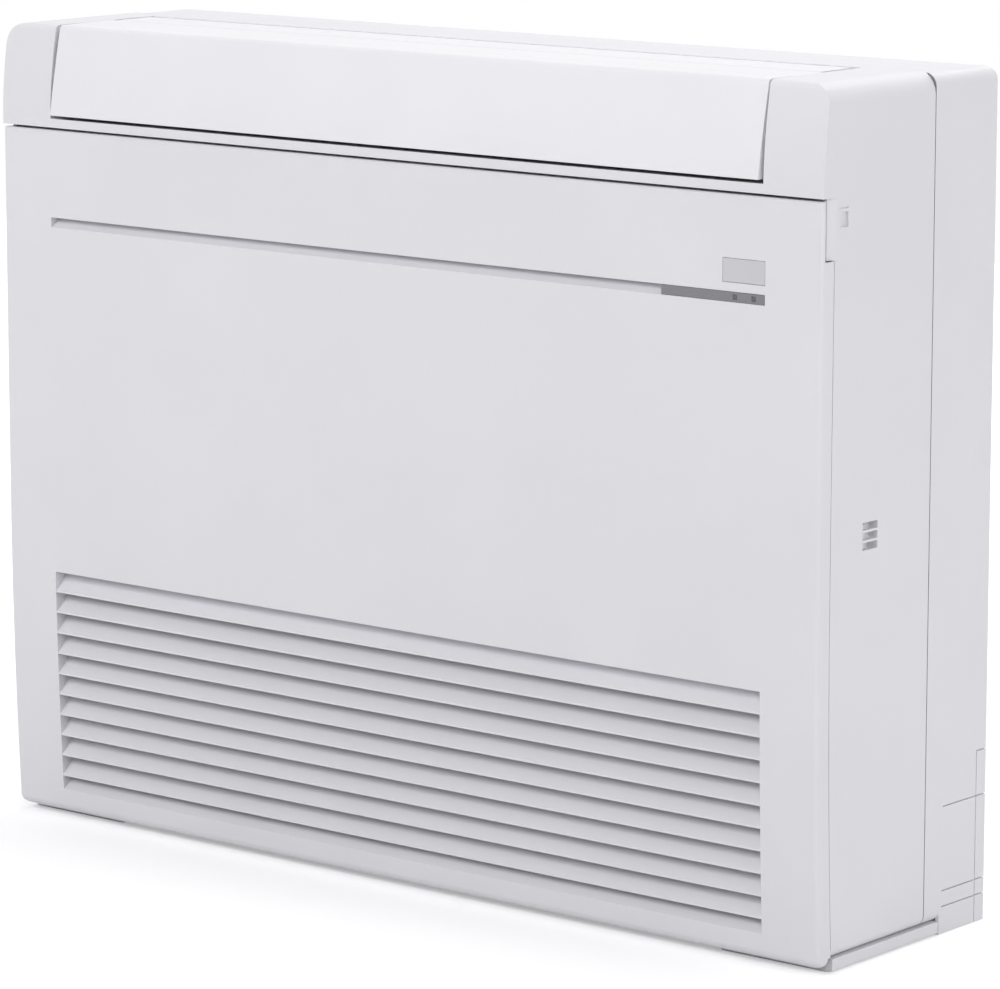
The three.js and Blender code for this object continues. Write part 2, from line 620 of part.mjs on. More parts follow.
// Moulded body of the panel as a stack of plan outlines that follow the bow; the lower edge is
// rounded about the axis that the panel swings on.
function panelBody(offset, rearOf, top) {
  const low = PANEL_FOOT + offset;
  const radius = PANEL_FOOT_RADIUS - offset;
  const edge = PANEL_EDGE_RADIUS - offset / 2;
  const ring = (z, inset) => {
    const half = HALF - offset - inset;
    const front = bow(z) + offset + inset;
    return [
      [half, rearOf(z)], [-half, rearOf(z)],
      ...arc(-half + edge, front + edge, edge, 180, 270, 3),
      ...arc(half - edge, front + edge, edge, 270, 360, 3),
    ].map(([x, y]) => new THREE.Vector3(x, y, z));
  };
  const foot = arc(0, 0, radius, 0, 90, 5).map(([across, up]) => ring(low + radius - across, radius - up));
  const rest = heights(low + radius, top - PANEL_CHAMFER, 36).slice(1).map((z) => ring(z, 0));
  return loft([...foot, ...rest, ring(top, offset > 0 ? 0 : PANEL_CHAMFER)]);
}

function slatTips() {
  return Array.from({ length: SLAT_COUNT }, (_, i) => GRILLE_SILL + SLAT_FIRST + i * SLAT_PITCH);
}

// Louvres: slats that climb to the back, tied by upright ribs behind them, in a collar round the
// opening. The ribs lie so far back that the slats hide them.
function grille() {
  const inside = GRILLE_HALF + 1;
  const slats = slatTips().map((z) => {
    const tip = bow(z) + SLAT_INSET;
    return prismX([
      [tip, z], [tip + SLAT_REACH, z + SLAT_CLIMB],
      [tip + SLAT_REACH, z + SLAT_CLIMB + SLAT_TIP], [tip, z + SLAT_TIP],
    ], -inside, inside);
  });
  const lip = bow(GRILLE_SILL) + SLAT_INSET;
  const sill = prismX([
    [lip, GRILLE_SILL - 1], [lip + SLAT_REACH, GRILLE_SILL - 1],
    [lip + SLAT_REACH, GRILLE_SILL + SLAT_CLIMB * 0.8], [lip, GRILLE_SILL],
  ], -inside, inside);
  const ribs = Array.from({ length: GRILLE_RIB_COUNT }, (_, i) => {
    const x = GRILLE_HALF * ((2 * (i + 1)) / (GRILLE_RIB_COUNT + 1) - 1);
    const rear = SLAT_REACH + SLAT_INSET;
    const band = bowBand(GRILLE_SILL - 1, GRILLE_TOP + 1, rear - GRILLE_RIB_LAP, rear + GRILLE_RIB_PROUD);
    return prismX(band, x - GRILLE_RIB / 2, x + GRILLE_RIB / 2);
  });
  return join(...slats, sill, ...ribs);
}

function frontPanel() {
  const outer = panelBody(0, (z) => bow(z) + PANEL_RETURN, PANEL_TOP);
  const inner = panelBody(PANEL_WALL, () => FRAME_BACK * 2, PANEL_TOP - PANEL_WALL);
  const collarHalf = GRILLE_HALF + PANEL_WALL;
  const collar = prismX(
    bowBand(GRILLE_SILL - PANEL_WALL, GRILLE_TOP + PANEL_WALL, 1, SLAT_REACH + SLAT_INSET),
    -collarHalf, collarHalf,
  );
  const gripPads = mirrored(HALF - GRIP_EAR - PANEL_WALL, HALF - 1).map(([near, far]) => block(
    near, far, PANEL_WALL, GRIP_EDGE_DEPTH, PANEL_TOP - GRIP_LENGTH - PANEL_WALL, PANEL_TOP - 1,
  ));
  const gripNotches = mirrored(HALF - GRIP_EAR, HALF + 1).map(([near, far]) => block(
    near, far, GRIP_EDGE_DEPTH, FRAME_BACK, PANEL_TOP - GRIP_LENGTH, PANEL_TOP + 1,
  ));
  const opening = block(-GRILLE_HALF, GRILLE_HALF, -9, FRAME_BACK * 2, GRILLE_SILL, GRILLE_TOP);
  const footReturn = block(
    -HALF - 1, HALF + 1, PANEL_SWING_AXIS_DEPTH + 3, FRAME_BACK * 2, 0, PANEL_SWING_AXIS_RISE,
  );
  const hinge = panelHingeShape();
  return join(outer.subtract(inner), collar, grooveBacking(), ...gripPads, ...hinge.lugs)
    .subtract(join(
      opening, footReturn, ...hinge.cuts, ...grooveCuts(), ...gripScoops(GRIP_FRONT), ...gripNotches,
    ))
    .add(grille());
}

// Walls behind the long groove, of even thickness along its slope, and behind the strip's seat.
function grooveBacking() {
  const face = bow(GROOVE_TOP);
  const [foot, top] = [GROOVE_FOOT - PANEL_WALL, GROOVE_TOP + PANEL_WALL];
  const deep = face + GROOVE_DEPTH + PANEL_WALL;
  const shallow = face + STRIP_THICK + FIT + PANEL_WALL;
  const slope = [
    [face + 1, foot], [face + GROOVE_LIP + PANEL_WALL, foot], [deep, GROOVE_TOP - PANEL_WALL],
    [deep, top], [face + 1, top],
  ];
  return join(
    prismX(slope, -GRILLE_HALF - PANEL_WALL + 1, STRIP_LEFT + PANEL_WALL),
    block(STRIP_LEFT, STRIP_RIGHT + PANEL_WALL, face + 1, shallow, foot, top),
  );
}

// Long groove with a sloping floor, the seat of the display strip at its end, and the window's.
function grooveCuts() {
  const face = bow(GROOVE_TOP);
  const groove = prismX([
    [-9, GROOVE_TOP], [face + GROOVE_DEPTH, GROOVE_TOP], [face + GROOVE_DEPTH, GROOVE_TOP - 1],
    [face + GROOVE_LIP, GROOVE_FOOT], [-9, GROOVE_FOOT],
  ], -GRILLE_HALF + 1, STRIP_LEFT);
  const seat = face + STRIP_THICK + FIT;
  const strip = block(STRIP_LEFT - 0.1, STRIP_RIGHT, -9, seat, GROOVE_FOOT, GROOVE_TOP);
  const window = windowPlace();
  return [groove, strip, block(window.left, window.right, -9, seat, window.foot, window.top)];
}
function windowPlace() {
  const foot = GROOVE_TOP + WINDOW_RAISE;
  return { left: STRIP_RIGHT - WINDOW_WIDTH, right: STRIP_RIGHT, foot, top: foot + WINDOW_HEIGHT };
}

// Lugs on the panel, the cuts round them, and the brackets with pins that they turn on.
function panelHingeShape() {
  const depth = PANEL_SWING_AXIS_DEPTH;
  const rise = PANEL_SWING_AXIS_RISE;
  const outside = HINGE_AT + HINGE_LUG;
  const lugs = mirrored(HINGE_AT, outside).map(([x0, x1]) => rodX(depth, rise, PANEL_FOOT_RADIUS - 1, x0, x1)
    .add(block(x0, x1, bow(rise) + 1, depth, rise - 2, rise + PANEL_FOOT_RADIUS)));
  const bores = mirrored(HINGE_AT - 1, outside + 1).map(([x0, x1]) => rodX(
    depth, rise, HINGE_PIN_RADIUS + RUN, x0, x1,
  ));
  const notches = mirrored(outside, outside + HINGE_BRACKET + 2).map(([x0, x1]) => block(
    x0, x1, depth - 1, FRAME_BACK, 0, rise - 2,
  ));
  const half = HINGE_PIN_RADIUS + 0.4;
  const seat = SKIRT_RISE + WALL + FIT;
  const back = FRAME_DEPTH - FIT;
  const arm = [
    [depth - half, rise - half], [depth + half, rise - half], [PLINTH_SETBACK - FIT, seat], [back, seat],
    [back, seat + 11], [back - WALL, seat + 11], [back - WALL, seat + 4.4], [depth + half, rise + half],
    [depth - half, rise + half],
  ];
  const pins = mirrored(HINGE_AT - RUN, outside + RUN * 3);
  const arms = mirrored(outside + RUN, outside + RUN + HINGE_BRACKET).map(([x0, x1]) => prismX(arm, x0, x1));
  const brackets = arms.map((solid, i) => solid.add(rodX(depth, rise, HINGE_PIN_RADIUS, ...pins[i], 12)));
  return { lugs, cuts: [...bores, ...notches], brackets };
}

function displayStrip() {
  const face = bow(GROOVE_TOP);
  const holes = lensPlaces().map((x) => block(x - LENS_SIZE / 2, x + LENS_SIZE / 2, -9, 9,
    LENS_RISE - LENS_SIZE / 2, LENS_RISE + LENS_SIZE / 2));
  return block(STRIP_LEFT + FIT, STRIP_RIGHT - FIT, face, face + STRIP_THICK, GROOVE_FOOT + FIT,
    GROOVE_TOP - FIT).subtract(join(...holes));
}
function lensPlaces() {
  const outer = STRIP_RIGHT - LENS_INSET;
  return [outer - LENS_PITCH, outer];
}
function lens(x) {
  const face = bow(GROOVE_TOP);
  const half = LENS_SIZE / 2 - FIT / 2;
  return block(x - half, x + half, face + 0.2, face + STRIP_THICK, LENS_RISE - half, LENS_RISE + half);
}
function receiverWindow() {
  const face = bow(GROOVE_TOP);
  const { left, right, foot, top } = windowPlace();
  return block(left + FIT, right - FIT, face + 0.1, face + STRIP_THICK, foot + FIT, top - FIT);
}

// ---- Flap and vanes at the air outlet -------------------------------------------------------

const FLAP_FOOT = RAIL_TOP + FLAP_FOOT_GAP;

// Depth of the flap's face at a height.
function flapFace(z) {
  const climb = (z - FLAP_FOOT) / (HEIGHT - FLAP_FOOT);
  return FLAP_FOOT_DEPTH + (FLAP_BROW_DEPTH - FLAP_FOOT_DEPTH) * climb ** 1.12;
}

// One hooked section: face, rounded brow and top; drawn at the skin or a wall's thickness inside.
function flapLine(wall) {
  const radius = FLAP_BROW_RADIUS - wall / 2;
  const crown = HEIGHT - wall;
  const browDepth = flapFace(crown - radius) + wall + radius;
  return [
    ...heights(FLAP_FOOT, crown - radius, 12).map((z) => [flapFace(z) + wall, z]),
    ...arc(browDepth, crown - radius, radius, 180, 90, 5).slice(1),
    [FLAP_REAR_DEPTH, crown],
  ];
}

function outletFlap() {
  const shell = prismX([...flapLine(0), ...flapLine(PANEL_WALL).reverse()], -FLAP_HALF, FLAP_HALF);
  const elbow = HEIGHT - FLAP_WEB;
  const web = [
    ...flapLine(0), [FLAP_REAR_DEPTH, elbow], [flapFace(elbow) + FLAP_WEB * 2, elbow],
    [flapFace(elbow) + FLAP_WEB, elbow - FLAP_WEB], [FLAP_FOOT_DEPTH + FLAP_WEB * 0.7, FLAP_FOOT],
  ];
  const crease = block(-FLAP_HALF - 1, FLAP_HALF + 1, FLAP_CREASE_DEPTH, FLAP_CREASE_DEPTH + SCORE_WIDTH,
    HEIGHT - 0.5, HEIGHT + 1);
  const ends = mirrored(FLAP_HALF - PANEL_WALL, FLAP_HALF).map(([x0, x1]) => prismX(web, x0, x1));
  return join(shell, ...ends, ...flapLips(), ...pivotPins(FLAP_HALF, FLAP_AXIS_DEPTH, FLAP_AXIS_RISE))
    .subtract(crease);
}

// Tongues of the flap's top that widen towards the back until they almost meet the cheeks.
function flapLips() {
  const reach = OUTLET_HALF - SEAM_GAP;
  return [-1, 1].map((side) => {
    const outline = [
      [side * (FLAP_HALF - 1), FLAP_BROW_DEPTH + FLAP_BROW_RADIUS], [side * reach, FLAP_LIP_DEPTH],
      [side * reach, FLAP_REAR_DEPTH], [side * (FLAP_HALF - 1), FLAP_REAR_DEPTH],
    ];
    return prismZ(outline, HEIGHT - PANEL_WALL, HEIGHT);
  });
}

// Stub pins that reach from a flap's or vane's ends through the cheek walls.
function pivotPins(half, depth, rise) {
  return mirrored(half - 1, OUTLET_HALF + WALL + 2)
    .map(([x0, x1]) => rodX(depth, rise, PIVOT_RADIUS, x0, x1, 12));
}

function topVane() {
  const roll = VANE_ROLL_RADIUS;
  const section = [
    [VANE_FRONT, HEIGHT], ...arc(VANE_AXIS_DEPTH, VANE_AXIS_RISE, roll, 90, -20, 8),
    ...arc(VANE_AXIS_DEPTH, VANE_AXIS_RISE, roll - PANEL_WALL, -20, 90, 6), [VANE_FRONT, HEIGHT - PANEL_WALL],
  ];
  const ends = mirrored(VANE_HALF - PANEL_WALL, VANE_HALF).map(([x0, x1]) => rodX(
    VANE_AXIS_DEPTH, VANE_AXIS_RISE, roll - 0.1, x0, x1,
  ));
  const pins = pivotPins(VANE_HALF, VANE_AXIS_DEPTH, VANE_AXIS_RISE);
  return join(prismX(section, -VANE_HALF, VANE_HALF), ...ends, ...pins);
}

// ---- Fan and air duct -----------------------------------------------------------------------

// Outline of a band laid along a line of [depth, height] points, on the left of its direction.
function ribbon(points, thick) {
  const path = points.map(([a, b]) => new THREE.Vector2(a, b));
  const offset = path.map((point, i) => {
    const before = path[Math.max(i - 1, 0)];
    const after = path[Math.min(i + 1, path.length - 1)];
    const along = after.clone().sub(before).normalize();
    return [point.x - along.y * thick, point.y + along.x * thick];
  });
  return [...points, ...offset.reverse()];
}

// Scroll behind the fan that sweeps up into the rear wall of the outlet.
function ductRearWall() {
  const back = CASING_DEPTH - BACK_CLEAR - DUCT_WALL;
  const closing = back - FAN_DEPTH;
  const start = FAN_RADIUS + SCROLL_GAP;
  const scroll = Array.from({ length: 8 }, (_, i) => {
    const angle = THREE.MathUtils.degToRad(-72 + (72 * i) / 8);
    const radius = start + ((closing - start) * i) / 8;
    return [FAN_DEPTH + radius * Math.cos(angle), FAN_RISE + radius * Math.sin(angle)];
  });
  const sweep = new THREE.CubicBezierCurve(
    new THREE.Vector2(back, FAN_RISE),
    new THREE.Vector2(back, FAN_RISE + 70),
    new THREE.Vector2(STRIP_EDGE + 20, HEIGHT - 85),
    new THREE.Vector2(STRIP_EDGE + 3, HEIGHT - WALL - FIT * 4),
  ).getPoints(12).map((point) => [point.x, point.y]);
  return prismX(ribbon([...scroll, ...sweep].reverse(), DUCT_WALL), -SIDE_FRAME_AT + FIT, SIDE_FRAME_AT - FIT);
}

// Line of the front wall of the duct, from the tongue beside the fan up to the rail.
const TONGUE = {
  foot: new THREE.Vector2(
    FAN_DEPTH - (FAN_RADIUS + TONGUE_GAP) * Math.SQRT1_2, FAN_RISE + (FAN_RADIUS + TONGUE_GAP) * Math.SQRT1_2,
  ),
  head: new THREE.Vector2(FRAME_BACK + FIT + DUCT_WALL, RAIL_TOP - FIT * 2),
};
const GUIDE_FLOW = TONGUE.head.clone().sub(TONGUE.foot).normalize();
const GUIDE_PIVOT = TONGUE.foot.clone().lerp(TONGUE.head, 0.5);
const GUIDE_TILT = -Math.atan2(GUIDE_FLOW.y, -GUIDE_FLOW.x);

function ductFrontWall() {
  const foot = [TONGUE.foot.x, TONGUE.foot.y];
  const head = [TONGUE.head.x, TONGUE.head.y];
  const lip = [foot[0] - 3, foot[1] - 6];
  const wall = prismX(ribbon([lip, foot, head], DUCT_WALL), -SIDE_FRAME_AT + FIT, SIDE_FRAME_AT - FIT);
  const holes = guidePlaces().map((x) => turned(
    prismZ(circle(x, 0, GUIDE_PIN_RADIUS + RUN, 12), -DUCT_WALL - 3, 3),
  ));
  return wall.subtract(join(...holes));
}

function guidePlaces() {
  return Array.from({ length: GUIDE_COUNT }, (_, i) => (i - (GUIDE_COUNT - 1) / 2) * GUIDE_PITCH);
}
// A solid drawn about the guide vanes' pivot, with Z out of the duct wall, put in its place.
function turned(solid) {
  return solid.rotate([THREE.MathUtils.radToDeg(GUIDE_TILT), 0, 0])
    .translate([0, GUIDE_PIVOT.x, GUIDE_PIVOT.y]);
}

// One upright vane about its pivot: blade, boss, pin in the wall, and finger with the link pin.
function guideVane() {
  const blade = prismX([
    [GUIDE_ROOT * 0.2, RUN + 2.5], [GUIDE_ROOT * 0.1, GUIDE_SPAN], [GUIDE_ROOT * 0.1 - GUIDE_TIP, GUIDE_SPAN],
    [-GUIDE_ROOT * 0.8, RUN + 2.5],
  ], -GUIDE_THICK / 2, GUIDE_THICK / 2);
  const boss = prismZ(circle(0, 0, GUIDE_PIN_RADIUS + 2, 12), RUN, RUN + 3);
  const pin = prismZ(circle(0, 0, GUIDE_PIN_RADIUS, 12), -DUCT_WALL - 1, RUN + 1);
  const fingerTop = LINK_LIFT - RUN * 2;
  const finger = block(-GUIDE_THICK, GUIDE_THICK, GUIDE_ROOT * 0.1, GUIDE_ARM + GUIDE_THICK,
    fingerTop - 4, fingerTop);
  const linkPin = prismZ(circle(0, GUIDE_ARM, LINK_PIN_RADIUS, 10), fingerTop - 1, LINK_LIFT + LINK_THICK + 2);
  return join(blade, boss, pin, finger, linkPin);
}

// Flat bar that ties the vanes; its slots are long enough for the pins' arcs.
function guideLink() {
  const places = guidePlaces();
  const reach = places[places.length - 1] + LINK_WIDTH;
  const arcSag = GUIDE_ARM * (1 - Math.cos(THREE.MathUtils.degToRad(GUIDE_SWING)));
  const slotHalf = LINK_PIN_RADIUS + RUN + 0.2;
  const low = GUIDE_ARM - arcSag - slotHalf;
  const high = GUIDE_ARM + slotHalf;
  const slots = places.map((x) => block(x - slotHalf, x + slotHalf, low, high, 0, LINK_LIFT * 2));
  return block(-reach, reach, low - 2.2, high + 2.2, LINK_LIFT, LINK_LIFT + LINK_THICK)
    .subtract(join(...slots));
}

// Cross-flow wheel: curved blades between discs, with a stub shaft at each end. Drawn about its axis.
function fanWheel() {
  const stations = [0, 0.5, 1];
  const edge = (side) => stations.map((t) => {
    const radius = FAN_HUB_RADIUS + (FAN_RADIUS - 1 - FAN_HUB_RADIUS) * t;
    const sweep = THREE.MathUtils.degToRad(-16 * t * t);
    const half = (0.9 - 0.5 * Math.abs(t - 0.5)) / radius;
    return [radius, sweep + side * half];
  });
  const section = [...edge(1), ...edge(-1).reverse()];
  const blades = Array.from({ length: FAN_BLADES }, (_, i) => {
    const turn = (2 * Math.PI * i) / FAN_BLADES;
    const outline = section.map(([radius, angle]) => [
      radius * Math.cos(angle + turn), radius * Math.sin(angle + turn),
    ]);
    return prismX(outline, FAN_LEFT + 1, FAN_RIGHT - 1);
  });
  const spacing = (FAN_RIGHT - FAN_LEFT - FAN_DISC) / FAN_BAYS;
  const discs = Array.from({ length: FAN_BAYS + 1 }, (_, i) => {
    const x = FAN_LEFT + i * spacing;
    const disc = rodX(0, 0, FAN_RADIUS, x, x + FAN_DISC, 32);
    const inner = i > 0 && i < FAN_BAYS;
    return inner ? disc.subtract(rodX(0, 0, FAN_HUB_RADIUS - 2, x - 1, x + FAN_DISC + 1, 24)) : disc;
  });
  const shafts = join(
    rodX(0, 0, SHAFT_RADIUS, -SIDE_FRAME_AT - SIDE_FRAME_WALL - BEARING_LENGTH + 3, FAN_LEFT + 1, 12),
    rodX(0, 0, SHAFT_RADIUS, FAN_RIGHT - 1, SIDE_FRAME_AT + SIDE_FRAME_WALL + MOTOR_LENGTH * 0.6, 12),
  );
  return join(...blades, ...discs, shafts);
}

// Sheet steel frame that carries the coil, the wheel and the duct walls at one end.
function sideFrame([x0, x1]) {
  const foot = SKIRT_RISE + WALL + FIT;
  const back = CASING_DEPTH - WALL - FIT;
  const front = FRAME_BACK + FIT;
  const crown = HEIGHT - VANE_ROLL_RADIUS * 2 - 1.5;
  const plate = prismX([
    [front, foot], [back, foot], [back, FAN_RISE + 70], [STRIP_EDGE + 10, crown], [front + 5, crown],
    [front + 5, RAIL_TOP], [front, RAIL_TOP - 2],
  ], x0, x1);
  const shaftHole = rodX(FAN_DEPTH, FAN_RISE, SHAFT_RADIUS + 3, x0 - 1, x1 + 1);
  const cuts = x0 < 0
    ? [shaftHole, rodX(SPIGOT_DEPTH, SPIGOT_RISE, SPIGOT_RADIUS + 1, x0 - 1, x1 + 1),
      ...pipePlaces().map((pipe) => rodX(pipe.depth, pipe.rise, pipe.radius + 1.5, x0 - 1, x1 + 1))]
    : [shaftHole];
  return plate.subtract(join(...cuts));
}

function fanBearing() {
  const outer = -SIDE_FRAME_AT - SIDE_FRAME_WALL - FIT;
  return join(
    rodX(FAN_DEPTH, FAN_RISE, BEARING_RADIUS, outer - BEARING_LENGTH, outer, 20),
    rodX(FAN_DEPTH, FAN_RISE, BEARING_RADIUS + 5, outer - 2.5, outer, 20),
  ).subtract(rodX(FAN_DEPTH, FAN_RISE, SHAFT_RADIUS + RUN, outer - BEARING_LENGTH + 2, outer + 1, 16));
}

// Motor can with end shields, three feet on the side frame and a bore for the wheel's shaft.
function fanMotor() {
  const face = SIDE_FRAME_AT + SIDE_FRAME_WALL + FIT;
  const can = join(
    rodX(FAN_DEPTH, FAN_RISE, MOTOR_RADIUS, face + 4, face + MOTOR_LENGTH - 3, 28),
    rodX(FAN_DEPTH, FAN_RISE, MOTOR_RADIUS * 0.72, face + 1, face + MOTOR_LENGTH, 24),
  );
  const feet = [90, 210, 330].map((angle) => {
    const [depth, rise] = arc(FAN_DEPTH, FAN_RISE, MOTOR_RADIUS + 3, angle, angle, 1)[0];
    return rodX(depth, rise, 7, face, face + 9, 12);
  });
  return join(can, ...feet)
    .subtract(rodX(FAN_DEPTH, FAN_RISE, SHAFT_RADIUS + RUN, face - 1, face + MOTOR_LENGTH * 0.7, 16));
}

// Small stepper whose output boss lies off the centre of its can, on the right cheek wall.
function stepper(shaftDepth, shaftRise, canDepth, canRise, earDepth, earRise) {
  const face = OUTLET_HALF + WALL + FIT;
  const can = rodX(canDepth, canRise, STEPPER_RADIUS, face, face + STEPPER_LENGTH, 20);
  const boss = rodX(shaftDepth, shaftRise, BOSS_RADIUS, face, face + 4, 12);
  const ears = block(
    face, face + 1.2, canDepth - earDepth, canDepth + earDepth, canRise - earRise, canRise + earRise,
  );
  return join(can, boss, ears)
    .subtract(rodX(shaftDepth, shaftRise, PIVOT_RADIUS + RUN, face - 1, face + 3.4, 12));
}

// ---- Heat exchanger, drain pan and pipes ----------------------------------------------------

const COIL_UP = new THREE.Vector3(0, COIL_HEAD_DEPTH - COIL_FOOT_DEPTH, COIL_HEAD_RISE - COIL_FOOT_RISE);
const COIL_LENGTH = COIL_UP.length();
COIL_UP.normalize();
const COIL_BACK = COIL_UP.clone().cross(X);
const COIL_FOOT = new THREE.Vector3(0, COIL_FOOT_DEPTH, COIL_FOOT_RISE);

// A prism along the coil's tilted length, from an outline in x and thickness.
function prismCoil(outline, from, to) {
  return prism(outline, from, to, X, COIL_BACK, COIL_UP)
    .translate([0, COIL_FOOT_DEPTH, COIL_FOOT_RISE]);
}

// Fin pack between its end plates, drawn as bundles with a shallow slot between them.
function heatExchanger() {
  const half = COIL_THICK / 2;
  const pitch = (COIL_RIGHT - COIL_LEFT) / COIL_GROOVES;
  const comb = (side) => Array.from({ length: COIL_GROOVES - 1 }, (_, i) => {
    const x = COIL_LEFT + (i + 1) * pitch;
    const [face, floor] = [side * half, side * (half - COIL_SLOT_DEPTH)];
    const [near, far] = [x - COIL_SLOT / 2, x + COIL_SLOT / 2];
    return [[near, face], [near, floor], [far, floor], [far, face]];
  }).flat();
  const outline = [
    [COIL_LEFT, -half], ...comb(-1), [COIL_RIGHT, -half],
    [COIL_RIGHT, half], ...comb(1).reverse(), [COIL_LEFT, half],
  ];
  return prismCoil(outline, 0, COIL_LENGTH);
}

function coilEndPlate(x0) {
  const half = COIL_THICK / 2 + 2;
  const x1 = x0 + PLATE_THICK;
  return prismCoil([[x0, -half], [x1, -half], [x1, half], [x0, half]], 0, COIL_LENGTH);
}

// A round tube along a smooth line of points.
function tube(points, radius, steps, sides = 10) {
  const shape = new THREE.Shape(circle(0, 0, radius, sides).map(([a, b]) => new THREE.Vector2(a, b)));
  const path = new THREE.CatmullRomCurve3(points, false, 'centripetal');
  const geometry = new THREE.ExtrudeGeometry(shape, { extrudePath: path, steps, bevelEnabled: false });
  return solidOf(geometry);
}

// U-shaped return bend outside the right end plate.
function returnBend(i) {
  const x = COIL_RIGHT + PLATE_THICK + FIT * 4;
  const middle = (COIL_LENGTH * (i + 0.5)) / BEND_COUNT;
  const points = arc(0, 0, BEND_RADIUS, -90, 90, 6).map(([out, up]) => new THREE.Vector3(x + out, 0, 0)
    .add(COIL_FOOT).addScaledVector(COIL_UP, middle + up));
  return tube(points, TUBE_RADIUS, 12, 8);
}

// Gas and liquid pipe: out of the coil through the left side frame, then down behind it.
function pipePlaces() {
  return [
    { name: 'gas_pipe', radius: PIPE_RADIUS, share: 0.3, drop: GAS_PIPE_DROP, out: GAS_PIPE_OUT },
    { name: 'liquid_pipe', radius: LIQUID_PIPE_RADIUS, share: 0.18, drop: LIQUID_PIPE_DROP, out: LIQUID_PIPE_OUT },
  ].map((pipe) => {
    const start = COIL_FOOT.clone().addScaledVector(COIL_UP, COIL_LENGTH * pipe.share);
    return { ...pipe, depth: start.y, rise: start.z };
  });
}
function coilPipe({ radius, depth, rise, drop, out }) {
  const start = COIL_LEFT - PLATE_THICK - FIT * 2;
  const down = -SIDE_FRAME_AT - SIDE_FRAME_WALL - out;
  const bend = PIPE_BEND;
  return tube([
    new THREE.Vector3(start, depth, rise), new THREE.Vector3((start + down) / 2, depth, rise),
    new THREE.Vector3(down + bend, depth, rise), new THREE.Vector3(down + bend * 0.3, depth, rise - bend * 0.3),
    new THREE.Vector3(down, depth, rise - bend), new THREE.Vector3(down, depth, rise - drop),
  ], radius, 22);
}
// Flare nut at the lower end of a pipe.
function flareNut({ radius, depth, rise, drop, out }) {
  const x = -SIDE_FRAME_AT - SIDE_FRAME_WALL - out;
  const top = rise - drop - FIT;
  return join(
    prismZ(circle(x, depth, radius * 1.9, 6), top - NUT_LENGTH * 0.6, top),
    prismZ(circle(x, depth, radius * 1.35, 12), top - NUT_LENGTH, top - NUT_LENGTH * 0.5),
  );
}

// Trough under the coil with two seats for it and a spigot through the left side frame.
function drainPan() {
  const reach = SIDE_FRAME_AT - FIT;
  const front = COIL_FOOT_DEPTH - PAN_FRONT;
  const back = COIL_FOOT_DEPTH + PAN_BACK;
  const top = PAN_RISE + PAN_HEIGHT;
  const section = (wall) => {
    const [low, high] = [PAN_RISE + wall, top + wall * 3];
    return [
      [front + wall, high], [front + PAN_SLOPE_FRONT / 2 + wall, low + PAN_KNEE],
      [front + PAN_SLOPE_FRONT + wall, low], [back - PAN_SLOPE_BACK - wall, low],
      [back - PAN_SLOPE_BACK / 3 - wall, low + PAN_KNEE], [back - wall, high],
    ];
  };
  const inside = reach - PANEL_WALL;
  const trough = prismX(section(0), -reach, reach).subtract(prismX(section(PANEL_WALL), -inside, inside));
  const seatTop = COIL_FOOT_RISE - (COIL_THICK / 2) * COIL_BACK.z - FIT * 4;
  const seats = [COIL_LEFT + PAN_SEAT_INSET, COIL_RIGHT - PAN_SEAT_INSET].map((x) => block(
    x - PAN_SEAT / 2, x + PAN_SEAT / 2, COIL_FOOT_DEPTH - COIL_THICK / 2, COIL_FOOT_DEPTH + COIL_THICK / 2,
    PAN_RISE + 1, seatTop,
  ));
  const end = -reach - SPIGOT_LENGTH;
  const spigot = rodX(SPIGOT_DEPTH, SPIGOT_RISE, SPIGOT_RADIUS, end, -inside - 1, 14);
  const bore = rodX(SPIGOT_DEPTH, SPIGOT_RISE, SPIGOT_RADIUS - PANEL_WALL, end - 1, -inside + 1, 12);
  return join(trough, ...seats, spigot).subtract(bore);
}

// ---- Electrical parts -------------------------------------------------------------------------

const BOX_LEFT = SIDE_FRAME_AT + SIDE_FRAME_WALL + FIT * 2;
const BOX_FRONT = FRAME_BACK + FIT * 2 + BOX_WALL;

// A block as wide and high as the electrical box, smaller by an inset on all four sides.
function boxBlock(inset, y0, y1) {
  return block(
    BOX_LEFT + inset, BOX_LEFT + BOX_WIDTH - inset, y0, y1, BOX_FOOT + inset, BOX_FOOT + BOX_HEIGHT - inset,
  );
}
// Tray open to the front, closed by its cover.
function electricalBox() {
  const back = BOX_FRONT + BOX_DEPTH;
  return boxBlock(0, BOX_FRONT, back).subtract(boxBlock(BOX_WALL, BOX_FRONT - 1, back - BOX_WALL));
}
function electricalCover() {
  const back = BOX_FRONT - FIT;
  const inset = BOX_WALL + FIT;
  const rim = boxBlock(inset, back - 1, back + 4).subtract(boxBlock(inset + BOX_WALL, back, back + 5));
  return boxBlock(0, FRAME_BACK + FIT, back).add(rim);
}
// Terminal block with its barriers, screwed to the tray's back wall.
function terminalBlock() {
  const back = BOX_FRONT + BOX_DEPTH - BOX_WALL - FIT;
  const [x0, x1] = [BOX_LEFT + 6, BOX_LEFT + BOX_WIDTH - 6];
  const foot = BOX_FOOT + 16;
  const barriers = [0, 1, 2, 3, 4].map((i) => block(x0, x1, back - 22, back - 9, foot + i * 12, foot + i * 12 + 2));
  return join(block(x0, x1, back - 10, back, foot, foot + 50), ...barriers);
}
